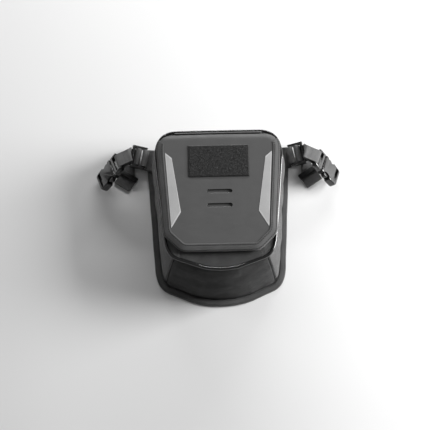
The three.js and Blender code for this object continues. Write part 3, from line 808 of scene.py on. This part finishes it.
def build_rim():
    """The glossy cord along the rim, and the deck inside it with its bound mouth and corner patches."""
    angles = RIM.angles(460)
    track = ring(RIM, angles, PIPING_R, PIPING_Z)
    sides = 18
    turns = np.arange(sides) * 2 * math.pi / sides
    thick = PIPING_R * (1 + 0.012 * ripple(track, (40, 40, 40), 41))
    outward = unit(track[:, :2] - RIM.at(angles, PIPING_R + 1))
    rings = []
    for turn in turns:
        line = track.copy()
        line[:, :2] += outward * (thick * math.cos(turn))[:, None]
        line[:, 2] += thick * math.sin(turn)
        rings.append(line)
    faces = grid_faces(sides, len(angles), True, True)
    piece("piping_cord", "bag", np.vstack(rings), faces, PIPING, None, ["rim_piping"])

    count = 420
    angles = RIM.angles(count)
    outer, mouth = RIM.at(angles, 2 * PIPING_R + 0.1), LID.at(angles, MOUTH_INSET)
    edge = 0.74
    shares = [0, 0.04, 0.1, 0.18, 0.28, 0.4, 0.52, 0.64, edge]
    rings, lifts = [], []
    width = np.linalg.norm(outer - mouth, axis=1)
    for share in shares:
        flat = outer + (mouth - outer) * share
        sag = -0.7 * np.sin(math.pi * share / edge) * np.ones(count)
        rings.append(np.c_[flat, DECK_TOP + sag])
        lifts.append(share * width)
    deck = np.vstack(rings)
    seam = np.exp(-((np.abs(deck[:, 0]) - SEAM_X) / 0.9) ** 2) * (deck[:, 1] < -40)
    deck[:, 2] += 0.22 * ripple(deck, (26, 26, 26), 51) - 0.85 * seam
    under = deck.copy()[::-1].reshape(len(shares), count, 3)[:, ::-1].reshape(-1, 3)
    under[:, 2] -= 1.1
    points = np.vstack([deck, under])
    faces = grid_faces(2 * len(shares), count, True, True)
    around = distance_along(outer)
    cloth = np.c_[np.tile(around, len(shares)), np.concatenate(lifts)]
    cloth = np.vstack([cloth, cloth[::-1]])
    made = piece("deck_cloth", "bag", points, faces, DECK_CLOTH, cloth, ["top_deck"])
    made.data.materials.append(SHELL)
    for face in made.data.polygons:
        centre = face.center / MM
        if abs(centre.x) > SEAM_X and centre.y < -38:
            face.material_index = 1

    bead = []
    for inward, z in [(-1.6, 0), (-1.0, 0.75), (0.6, 1.05), (2.6, 0.95), (4, 0.4), (4.3, -0.5), (3.8, -1.5),
                      (2, -1.9), (0.4, -1.7), (-1.4, -1.3)]:
        line = outer + (mouth - outer) * edge
        line = line + (mouth - outer) / width[:, None] * inward
        bead.append(np.c_[line, np.full(count, DECK_TOP + z)])
    cloth = cloth_grid(around, np.arange(len(bead)) * 1.4)
    rim_tape = piece("mouth_tape", "bag", np.vstack(bead), grid_faces(len(bead), count, True, True), TAPE,
                     cloth, ())
    subdivide(rim_tape)

    rows = []
    path = np.c_[outer + (mouth - outer) * edge, np.full(count, DECK_TOP + 0.75)]
    path[:, :2] += (mouth - outer) / width[:, None] * 0.1
    rows.append(stitches(path, (0, 0, 1), closed=True))
    for side in (1, -1):
        y = np.linspace(-59.5, -73, 12)
        seam_path = np.c_[np.full(12, 56.2 * side), y, np.full(12, DECK_TOP - 0.25)]
        rows.append(stitches(seam_path, (0, 0, 1), pitch=2.6))
    sewing("deck_stitches", "bag", rows)


# ---------------------------------------------------------------- the lid
def crown(inset):
    """The moulded panel's height, an inset from the lid's edge."""
    t = np.clip((np.asarray(inset, float) - 1.6) / 8.4, 0, 1)
    return LID_EDGE + (LID_TOP - LID_EDGE) * np.sin(t * math.pi / 2)


def slot_tool(y):
    """What is taken out for one slot: deep along its front edge, rising to the rear like a louvre."""
    half, radius = 17, 2.9
    turns = np.linspace(-math.pi / 2, math.pi / 2, 13)
    right = np.c_[half - radius + radius * np.cos(turns), radius * np.sin(turns)]
    edge = np.vstack([right, -right])
    count = len(edge)
    floor = LID_TOP - np.interp(edge[:, 1], [-radius, radius], [1.2, 3.2])
    points = np.vstack([np.c_[edge * [0.985, 0.93], floor], np.c_[edge, np.full(count, LID_TOP + 2)]])
    points[:, 1] += y
    return piece(f"slot_tool_{int(y) % 97}", None, points, capped(2, count), MOULDED)


def build_lid_shell():
    """The moulded panel, with its two slots cut."""
    angles = LID.angles(420)
    section = [(1.9, LID_LOW), (1.6, LID_LOW + 0.3), (1.6, LID_EDGE - 0.5), (1.75, LID_EDGE - 0.15)]
    section += [(inset, crown(inset)) for inset in (2.2, 3, 4, 5, 6, 7, 8, 9, 10)]
    section += [(12, LID_TOP)]
    rings = [ring(LID, angles, inset, z) for inset, z in section]
    shell = piece("lid_skin", None, np.vstack(rings), capped(len(section), len(angles)), MOULDED)
    for y in SLOTS_Y:
        tool = slot_tool(y)
        cut = shell.modifiers.new("Slot", "BOOLEAN")
        cut.object = tool
        cut.solver = "EXACT"
        flatten(shell)
        bpy.data.objects.remove(tool)
    soften(shell, 0.55, 35)
    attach(shell, "lid")
    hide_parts("lid_shell")


def flatten(made):
    """Applies a piece's modifiers to its mesh."""
    graph = bpy.context.evaluated_depsgraph_get()
    graph.update()
    mesh = bpy.data.meshes.new_from_object(made.evaluated_get(graph), depsgraph=graph)
    made.modifiers.clear()
    made.data = mesh


def soften(made, width, angle):
    """Rounds a hard piece's edges."""
    bevel = made.modifiers.new("Rounded", "BEVEL")
    bevel.width = width * MM
    bevel.segments = 3
    bevel.limit_method = "ANGLE"
    bevel.angle_limit = math.radians(angle)
    bevel.harden_normals = True


def lid_binding_range():
    """The angles of the binding's two ends, going round by the rear."""
    angles = LID.angles(2000, 0, math.pi)
    reached = LID.at(angles)[:, 1] < BINDING_END_Y
    first = angles[np.argmax(reached)]
    return first, 2 * math.pi - first


def build_lid_binding():
    """The tape folded over the lid's edge, with its rows of stitches above and below."""
    start, end = lid_binding_range()
    tape = 0.95
    top = [(BINDING, crown(BINDING) + 0.3), (BINDING + 0.1, crown(BINDING) + 0.75)]
    top += [(inset, crown(inset) + tape) for inset in (8.9, 8.2, 7.4, 6.6, 5.4, 4.2, 3, 2.1)]
    side = [(1.0, LID_EDGE + 0.9), (0.3, LID_EDGE + 0.2), (0, LID_EDGE - 0.8), (0.05, LID_LOW + 0.2),
            (0.5, LID_UNDER + 0.35), (1.3, LID_UNDER + 0.05)]
    under = [(4, LID_UNDER), (7, LID_UNDER + 0.1), (8.6, LID_UNDER + 0.35), (8.6, LID_UNDER + 0.9),
             (6, LID_UNDER + 1.0), (2.4, LID_UNDER + 1.05)]
    inner = [(1.35, LID_LOW), (1.3, LID_EDGE - 0.4), (1.9, LID_EDGE + 0.35)]
    inner += [(inset, crown(inset) + 0.3) for inset in (3, 5, 7)]
    profile = top + side + under + inner

    def wobble(around, inset, z):
        scallop = 0.34 * np.abs(np.sin(math.pi * around / STITCH)) * (inset < 0.6)
        return 0.1 * np.sin(around / 13) - scallop

    count = 900
    points, faces, cloth = ring_sweep(LID, profile, count, start, end, wobble)
    groove = lambda inset: np.exp(-((inset - 7.2) / 0.7) ** 2)
    sunk = groove(np.repeat([p[0] for p in profile], count)) * (points[:, 2] > LID_EDGE + 0.5)
    points[:, 2] -= 0.3 * sunk
    piece("lid_tape", "lid", points, faces, TAPE, cloth, ["lid_binding"])
    angles = LID.angles(count, start + 0.006, end - 0.006)
    path = ring(LID, angles, 7.2, crown(7.2) + tape - 0.08)
    below = ring(LID, angles, 6.4, LID_UNDER + 0.05)
    outer = ring(LID, angles, 1.3, LID_EDGE + 1.2)
    rows = [stitches(path, (0, 0, 1), thick=1.3), stitches(outer, (0, 0, 1), thick=1.1),
            stitches(below, (0, 0, -1))]
    sewing("lid_stitches", "lid", rows)


def fuzz(name, body, x, y, z, up, nodes, loops):
    """Hook-and-loop tape: a soft-edged backing with many small loops of nylon standing on it."""
    step = 0.9
    xs, ys = np.arange(x[0], x[1] + step / 2, step), np.arange(y[0], y[1] + step / 2, step)
    gx, gy = np.meshgrid(xs, ys)
    flat = np.c_[gx.ravel(), gy.ravel(), np.zeros(gx.size)]
    edge = np.minimum.reduce([flat[:, 0] - xs[0], xs[-1] - flat[:, 0],
                              flat[:, 1] - ys[0], ys[-1] - flat[:, 1]])
    rng = np.random.default_rng(len(name) * 17)
    height = (z[1] - z[0]) * (0.35 + 0.4 * smoothstep(edge, -0.4, 1.8))
    uneven = 0.1 * ripple(flat, (3.2, 3.2, 3.2), 61) + rng.normal(0, 0.05, len(flat))
    height += smoothstep(edge, 0.5, 2.5) * uneven
    root = z[0] if up > 0 else z[1]
    surface = np.c_[flat[:, :2], root + up * height]
    back = np.c_[flat[:, :2], np.full(len(flat), root)]
    rows, columns = len(ys), len(xs)
    index = np.arange(rows * columns).reshape(rows, columns)
    border = np.r_[index[0], index[1:, -1], index[-1, -2::-1], index[-2:0:-1, 0]]
    faces = grid_faces(rows, columns).tolist()
    faces += (grid_faces(rows, columns)[:, ::-1] + rows * columns).tolist()
    after = np.roll(border, -1)
    faces += np.c_[border, after, after + rows * columns, border + rows * columns].tolist()
    piece(name, body, np.vstack([surface, back]), faces, PILE, None, nodes)

    arch = np.linspace(0.15, math.pi - 0.15, 6)
    sides = np.arange(3) * 2 * math.pi / 3
    points = []
    for turn in arch:
        out = np.array([math.cos(turn), 0, math.sin(turn)])
        for side in sides:
            points.append(out + 0.17 * (math.cos(side) * out + math.sin(side) * np.array([0, 1, 0])))
    template = np.array(points), grid_faces(len(arch), 3, False, True)
    spots = np.c_[rng.uniform(x[0] + 0.9, x[1] - 0.9, loops), rng.uniform(y[0] + 0.9, y[1] - 0.9, loops)]
    turn = rng.uniform(0, math.pi, loops)
    size = rng.uniform(0.35, 0.62, loops)[:, None]
    low = root + up * (z[1] - z[0]) * 0.62
    along = np.c_[np.cos(turn), np.sin(turn), rng.normal(0, 0.25, loops)] * size
    lean = np.c_[rng.normal(0, 0.35, (loops, 2)), np.full(loops, up)] * size
    points, faces = scatter(template, frames(np.c_[spots, np.full(loops, low)], along, lean))
    piece(name + "_loops", body, points, faces, PILE)


def build_lid_trim():
    """The loop patch, the two reflective panels, the lid's lining and its closure strip."""
    top = LID_TOP
    x, y = span("loop_patch", 0), span("loop_patch", 1)
    depth = top + 0.02, span("loop_patch", Z)[1]
    fuzz("patch_pile", "lid", x, y, depth, 1, ["loop_patch"], 4600)
    inner = 1.3
    corners = np.array([[x[0], y[0]], [x[1], y[0]], [x[1], y[1]], [x[0], y[1]], [x[0], y[0]]])
    corners -= np.sign(corners - [0, sum(y) / 2]) * inner
    path = np.vstack([np.linspace(a, b, 60) for a, b in zip(corners, corners[1:])])
    height = span("loop_patch", Z)[1] - 0.45
    path = np.c_[path, np.full(len(path), height)]
    sewing("patch_stitches", "lid", [stitches(path, (0, 0, 1), pitch=2.8)])

    for name, side in SIDES:
        corners = np.array(REFLECTOR) * [side, 1]
        middle = corners.mean(axis=0)
        rim = []
        for k in range(4):
            here = corners[k]
            for other, shares in ((corners[k - 1], (0.05, 0.02)), (corners[(k + 1) % 4], (0.02, 0.05))):
                for share in shares:
                    pull = 0.15 if share < 0.03 else 0.0
                    rim.append(here + (other - here) * share * 0.4 + (middle - here) / 90 * pull)
        rim = np.array(rim)
        count = len(rim)
        to_middle = middle - rim
        narrow = 1.25 / np.abs(to_middle[:, 0]).clip(7)
        inner = rim + to_middle * narrow[:, None] * [1, 0.35]
        levels = [(rim, top + 0.02), (rim, top + 0.3), (inner, top + 0.42), (inner, top + 0.34)]
        points = np.vstack([np.c_[ring, np.full(count, z)] for ring, z in levels])
        faces = capped(4, count)
        # The rim faces take the lighter copy of the film, a painted highlight; only the top face takes the
        # film itself.
        film = piece(f"reflective_{name}", "lid", points, faces, FILM_RIM_HIGHLIGHT, None, [f"reflector_{name}"])
        film.data.materials.append(FILM)
        film.data.polygons[len(faces) - 1].material_index = 1
        film.data.shade_flat()

    angles = LID.angles(300)
    low, high = span("lid_lining", Z)
    inset = BINDING - 0.5
    section = [(inset + 1.6, low + 0.1), (inset + 0.6, low + 0.2), (inset, low + 0.5), (inset + 0.3, high)]
    rings = [ring(LID, angles, d, z) for d, z in section]
    for share in np.linspace(0, 1, 22)[1:-1]:
        rings.insert(0, rings[0] * (1 - share) + np.array([*CENTRE, low + 0.1]) * share)
    points = np.vstack(rings)
    points[:, 2] += 0.16 * (ripple(points, (30, 30, 30), 71) - 0.4) * (points[:, 2] < low + 0.15)
    faces = capped(len(rings), len(angles))
    piece("lid_lining_cloth", "lid", points, faces, LINING, points[:, :2], ["lid_lining"])
    x, y, z = (span("closure_hook_strip", axis) for axis in range(3))
    fuzz("hook_strip", "lid", x, y, z, -1, ["closure_hook_strip"], 700)


def build_closure():
    """The loop strip on the deck, and the cloth that the lid hinges on."""
    x, y, z = (span("closure_loop_strip", axis) for axis in range(3))
    fuzz("loop_strip", "bag", x, y, (DECK_TOP - 0.2, z[1]), 1, ["closure_loop_strip"], 1100)

    half = span("lid_hinge_tape", 0)[1]
    path = np.array([[89, DECK_TOP + 0.6], [95.5, DECK_TOP + 0.7], [98.4, DECK_TOP + 1.3],
                     [99.5, DECK_TOP + 2.9], [99.7, DECK_TOP + 4.6], [99.2, DECK_TOP + 6.2],
                     [97.9, DECK_TOP + 7.1]])
    rounded = spline(np.c_[np.zeros(len(path)), path], 26)
    across = np.linspace(-half, half, 60)
    steps = distance_along(rounded)
    normal = unit(np.cross(np.gradient(rounded, axis=0), [1.0, 0, 0]))
    layers = []
    for lift in (0.45, -0.45):
        line = rounded + normal * lift
        layer = np.repeat(line[:, None, :], len(across), axis=1)
        layer[:, :, 0] = across
        layers.append(layer)
    closed = np.concatenate([layers[0], layers[1][::-1]]).reshape(-1, 3)
    rows, columns = 2 * len(rounded), len(across)
    faces = grid_faces(rows, columns, True).tolist() + end_faces(rows, columns)
    cloth = cloth_grid(across, np.r_[steps, steps[::-1]])
    hinge = piece("hinge_cloth", None, closed, faces, TAPE, cloth, ["lid_hinge_tape"])
    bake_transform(hinge)


# ---------------------------------------------------------------- straps
def turned(degrees, axis):
    return np.array(Matrix.Rotation(math.radians(degrees), 3, axis))


def strap_frame(x, y, z, heading, pitch=0, roll=0):
    """Where a strap part is: its x along the strap, y across it and z out of its face."""
    return np.array([x, y, z], float), turned(heading, "Z") @ turned(-pitch, "Y") @ turned(roll, "X")


def place(where, u, w, v=0.0):
    return where[0] + where[1] @ np.array([u, v, w], float)


WING_AT = strap_frame(*WING)
LOCK_AT = strap_frame(*place(WING_AT, *LOCK_STEP), WING[3], LOCK_PITCH)
BUCKLE_AT = strap_frame(*BAR)
LOOP_AT = BUCKLE_AT[0], BUCKLE_AT[1] @ turned(-LOOP_LIFT, "Y")


def spline(points, count):
    """Evenly spaced points on a smooth curve through the given ones."""
    points = np.array(points, float)
    ends = 2 * points[0] - points[1], 2 * points[-1] - points[-2]
    p = np.vstack([ends[0], points, ends[1]])
    walk = []
    for k in range(1, len(p) - 2):
        quad = p[k - 1:k + 3]
        knots = np.r_[0, np.cumsum(np.linalg.norm(np.diff(quad, axis=0), axis=1) ** 0.5 + 1e-9)]
        for t in np.linspace(knots[1], knots[2], 24, endpoint=False):
            share = lambda j, reach: (t - knots[j]) / (knots[j + reach] - knots[j])
            a = [quad[j] + (quad[j + 1] - quad[j]) * share(j, 1) for j in range(3)]
            b = [a[j] + (a[j + 1] - a[j]) * share(j, 2) for j in range(2)]
            walk.append(b[0] + (b[1] - b[0]) * (t - knots[1]) / (knots[2] - knots[1]))
    walk = np.array(walk + [points[-1]])
    steps = distance_along(walk)
    even = np.linspace(0, steps[-1], count)
    return np.stack([np.interp(even, steps, walk[:, k]) for k in range(3)], axis=1)


def webbing(name, body, points, count, first, last, turn, mirror, node):
    """A woven strap along a curve, whose width turns from first to last between two shares of it."""
    line = spline(points, count)
    share = smoothstep(np.linspace(0, 1, count), *turn)[:, None]
    across = unit(first * (1 - share) + last * share)
    up = unit(np.cross(unit(np.gradient(line, axis=0)), across))
    half, deep = WEB / 2, WEB_THICK / 2
    inner = np.linspace(half - 1.2, 1.2 - half, 15)
    section = [(half - 0.05, 0.45 * deep), (half - 0.5, 0.96 * deep)] + [(s, 0.9 * deep) for s in inner]
    section += [(0.5 - half, 0.96 * deep), (0.05 - half, 0.45 * deep)]
    section = np.array(section + [(s, -w) for s, w in section[::-1]])
    rings = line[:, None] + across[:, None] * section[None, :, :1] + up[:, None] * section[None, :, 1:]
    sides = len(section)
    made = rings.reshape(-1, 3) * [mirror, 1, 1]
    cloth = np.c_[np.repeat(distance_along(line), sides), np.tile(section[:, 0] + half, count)]
    piece(name, body, made, capped(count, sides), WEBBING, cloth, [node])


def half_round(u, w, radius, steps):
    """Points half way round a bar, from its top to its underside."""
    angles = np.radians(np.linspace(90, -90, steps + 1))
    return [[u + radius * math.cos(a), w + radius * math.sin(a)] for a in angles]


def hard_copy(node, width):
    """A moulded piece: the CAD solid with its flat faces made whole and its edges rounded."""
    source = frame["nodes"][node]
    mesh = source.data.copy()
    work = bmesh.new()
    work.from_mesh(mesh)
    bmesh.ops.remove_doubles(work, verts=work.verts, dist=2e-6)
    bmesh.ops.dissolve_degenerate(work, edges=work.edges, dist=2e-6)
    bmesh.ops.dissolve_limit(work, angle_limit=math.radians(1.5), verts=work.verts, edges=work.edges)
    bmesh.ops.recalc_face_normals(work, faces=work.faces)
    work.to_mesh(mesh)
    work.free()
    mesh.materials.clear()
    mesh.materials.append(ACETAL)
    mesh.shade_smooth()
    name = node.replace("buckle", "release").replace("ladder", "strap") + "_moulding"
    made = bpy.data.objects.new(name, mesh)
    bpy.context.scene.collection.objects.link(made)
    soften(made, width, 28)
    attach(made, source["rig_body"])
    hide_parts(node)


def fabric_wing(side, mirror):
    """The cloth flap from under the bag's corner to the lock's loop, hemmed and stitched."""
    across = np.linspace(-1, 1, 40)
    along = np.linspace(-12, 3.2, 30)
    half = np.interp(along, [-12, 3.2], [17, 15.5])
    grid = []
    for layer in (1, -1):
        for u, reach in zip(along if layer > 0 else along[::-1], half if layer > 0 else half[::-1]):
            for share in across:
                hem = 0.16 * smoothstep(abs(share), 0.78, 0.86) - 0.45 * smoothstep(abs(share), 0.965, 1.0)
                end = 0.35 * smoothstep(abs(u + 4.4), 6.6, 7.6)
                w = layer * (0.55 + hem - end)
                grid.append(place(WING_AT, u, w + 0.1, share * reach))
    rows, columns = 2 * len(along), len(across)
    points = np.array(grid)
    slack = 0.25 * ripple(points, (18, 18, 18), 81)
    points[:, 2] += slack * smoothstep(6 - np.abs((points - WING_AT[0]) @ WING_AT[1][:, 0] + 5), 0, 4)
    faces = grid_faces(rows, columns, True).tolist() + end_faces(rows, columns)
    cloth = cloth_grid(across * 17, np.r_[along, along[::-1]])
    made = piece(f"wing_cloth_{side}", None, points * [mirror, 1, 1], faces, SHELL, cloth,
                 [f"wing_root_{side}", f"strap_wing_{side}"])
    start, end = place(WING_AT, -1.6, 0) * MM, place(WING_AT, 1.6, 0) * MM
    start[0], end[0] = start[0] * mirror, end[0] * mirror
    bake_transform(made)
    rows = []
    for v in (-14, 14):
        path = [place(WING_AT, u, 0.85, v) for u in np.linspace(-6, -1, 12)]
        rows.append(stitches(path, (0, 0, 1), pitch=2.6))
    sewing(f"wing_stitches_{side}", "bag", rows, mirror=mirror)


def build_strap(side, mirror):
    """One side's strap: the wing, the lock's loop, the webbing and its tail, and the mouldings."""
    fabric_wing(side, mirror)
    flat = LOCK_AT[0], WING_AT[1]
    low = -LOOP_R
    fold = [[-4.6, 1.1], [-2.2, 2.3], *half_round(0, 0, LOOP_R, 6), [-2.2, low + 0.5], [-4.6, -1.1]]
    points = [place(flat, u, w) for u, w in fold]
    across = flat[1][:, 1]
    webbing(f"loop_web_{side}", f"wing_{side}", points, 50, across, across, (0, 1), mirror,
            f"wing_loop_{side}")

    doubled = WEB_THICK + 0.3
    sewn_end = [[-17, LOOP_R - doubled], [-12.5, LOOP_R - doubled], [-8, -0.4]]
    round_plug = [[-u, w] for u, w in half_round(0, 0, -LOOP_R, 5)]
    lead = [[-8, LOOP_R], [-13, LOOP_R], [-18, LOOP_R]]
    through = [[19.5, -3.1], [15.6, -3.4], [12.9, -1.9], [12.2, 0.2], [11, 2.2], [8.5, 3.1], [6.2, 2],
               [5.6, -0.6], [6, -3.4], [8.2, -5.2], [12, -5.6]]
    points = [place(LOOP_AT, *p) for p in sewn_end + round_plug + lead]
    points += [place(LOCK_AT, *p) for p in through]
    at_plug, at_lock = LOOP_AT[1][:, 1], LOCK_AT[1][:, 1]
    webbing(f"lead_web_{side}", f"lock_{side}", points, 200, at_plug, at_lock, (0.38, 0.64), mirror,
            f"strap_webbing_{side}")

    points = [place(LOCK_AT, 14.5, -5.9)] + TAIL
    last = strap_frame(0, 0, 0, TAIL_HEADING)[1][:, 1]
    webbing(f"tail_web_{side}", f"lock_{side}", points, 60, at_lock, last, (0, 0.75), mirror,
            f"strap_tail_{side}")
    keeper_band(side, mirror)
    for node, width in (("ladder_lock", 0.55), ("buckle_plug", 0.6), ("latch_arm_front", 0.5),
                        ("latch_arm_rear", 0.5), ("buckle_socket", 0.7)):
        hard_copy(f"{node}_{side}", width)
    box_stitch(side, mirror)


def box_stitch(side, mirror):
    """The sewn box that closes the webbing's loop behind the plug, seen on its upper face."""
    rows = []
    height = LOOP_R + WEB_THICK / 2 - 0.05
    corners = [(-9.5, -9), (-9.5, 9), (-16.5, 9), (-16.5, -9), (-9.5, -9)]
    for (u0, v0), (u1, v1) in zip(corners, corners[1:]):
        shares = np.linspace(0, 1, 12)
        path = [place(LOOP_AT, u0 + (u1 - u0) * t, height, v0 + (v1 - v0) * t) for t in shares]
        rows.append(stitches(path, LOOP_AT[1][:, 2], pitch=2.4, thick=0.45))
    sewing(f"strap_stitches_{side}", f"lock_{side}", rows, mirror=mirror)


def keeper_band(side, mirror):
    """The elastic band round the strap's tail."""
    where = strap_frame(*KEEPER)
    half_width, half_height, thick = WEB / 2 + 0.5, WEB_THICK / 2 + 0.5, 0.85
    loop = []
    for turn in np.linspace(0, 2 * math.pi, 64, endpoint=False):
        c, s = math.cos(turn), math.sin(turn)
        v = math.copysign(abs(c) ** 0.25, c)
        w = math.copysign(abs(s) ** 0.6, s)
        loop.append((v, w))
    rings = []
    section = [(-3.6, 0.0), (-3.9, 0.4), (-3.6, 0.85), (-1.5, 1.0), (1.5, 1.0), (3.6, 0.85), (3.9, 0.4),
               (3.6, 0.0)]
    for u, share in section:
        lift = share * thick
        rings.append([place(where, u, w * (half_height + lift), v * (half_width + lift)) for v, w in loop])
    points = np.array(rings).reshape(-1, 3) * [mirror, 1, 1]
    faces = grid_faces(len(section), len(loop), True, True)
    cloth = cloth_grid(np.arange(len(loop)) * 0.9, [s[0] + 4 for s in section])
    piece(f"keeper_elastic_{side}", f"lock_{side}", points, faces, ELASTIC, cloth, [f"tail_keeper_{side}"])


# ---------------------------------------------------------------- studio
def area_light(name, place_at, size, power):
    """A rectangular light that faces the bag."""
    data = bpy.data.lights.new(name, "AREA")
    data.shape = "RECTANGLE"
    data.size, data.size_y = size
    data.energy = power
    lamp = bpy.data.objects.new(name, data)
    lamp.location = place_at
    lamp.rotation_mode = "QUATERNION"
    lamp.rotation_quaternion = (Vector((0, 0, 0.05)) - Vector(place_at)).to_track_quat("-Z", "Y")
    bpy.context.scene.collection.objects.link(lamp)


def build_studio():
    """A pale floor, even surrounding light, and three soft lights of which the right one is strongest."""
    reach = 3000
    points = np.array([[-reach, -reach, 0], [reach, -reach, 0], [reach, reach, 0], [-reach, reach, 0]])
    floor = piece("floor", None, points, [[0, 1, 2, 3]], pale_floor("floor_paint", 214))
    world = bpy.data.worlds.new("studio")
    world.use_nodes = True
    world.node_tree.nodes["Background"].inputs["Color"].default_value = (1, 1, 1, 1)
    world.node_tree.nodes["Background"].inputs["Strength"].default_value = 0.2
    bpy.context.scene.world = world
    area_light("key", (1.3, 0.2, 0.65), (0.7, 0.7), 44)
    area_light("front_strip", (0.1, 1.4, 0.6), (1.5, 0.1), 18)
    area_light("left_strip", (-1.0, 0.5, 0.9), (0.12, 1.0), 2)
    bpy.context.scene.view_settings.view_transform = "Standard"


def build_camera():
    """The view of a person standing behind the bag: 70 degrees above the horizon, a touch to the left."""
    distance, view_width, sensor = 1600, 574.91, 36
    elevation, azimuth = math.radians(70), math.radians(-1.3)
    back = Vector((math.sin(azimuth) * math.cos(elevation), -math.cos(azimuth) * math.cos(elevation),
                   math.sin(elevation)))
    right = (-back).cross(Vector((0, 0, 1))).normalized()
    up = right.cross(-back)
    aim = Vector((0, -4.5, 42))
    sideways, upwards = 6.1502, -2.674
    eye = aim + back * distance - right * sideways - up * upwards
    data = bpy.data.cameras.new("camera")
    data.sensor_width = sensor
    data.lens = sensor * distance / view_width
    data.clip_end = 20
    camera = bpy.data.objects.new("camera", data)
    camera.matrix_world = Matrix((right, up, back)).transposed().to_4x4()
    camera.location = eye * MM
    bpy.context.scene.collection.objects.link(camera)
    bpy.context.scene.camera = camera


build_camera()
build_studio()
build_base()
build_walls()
build_padding()
build_rim()
build_lid_shell()
build_lid_binding()
build_lid_trim()
build_closure()
for side, mirror in SIDES:
    build_strap(side, mirror)
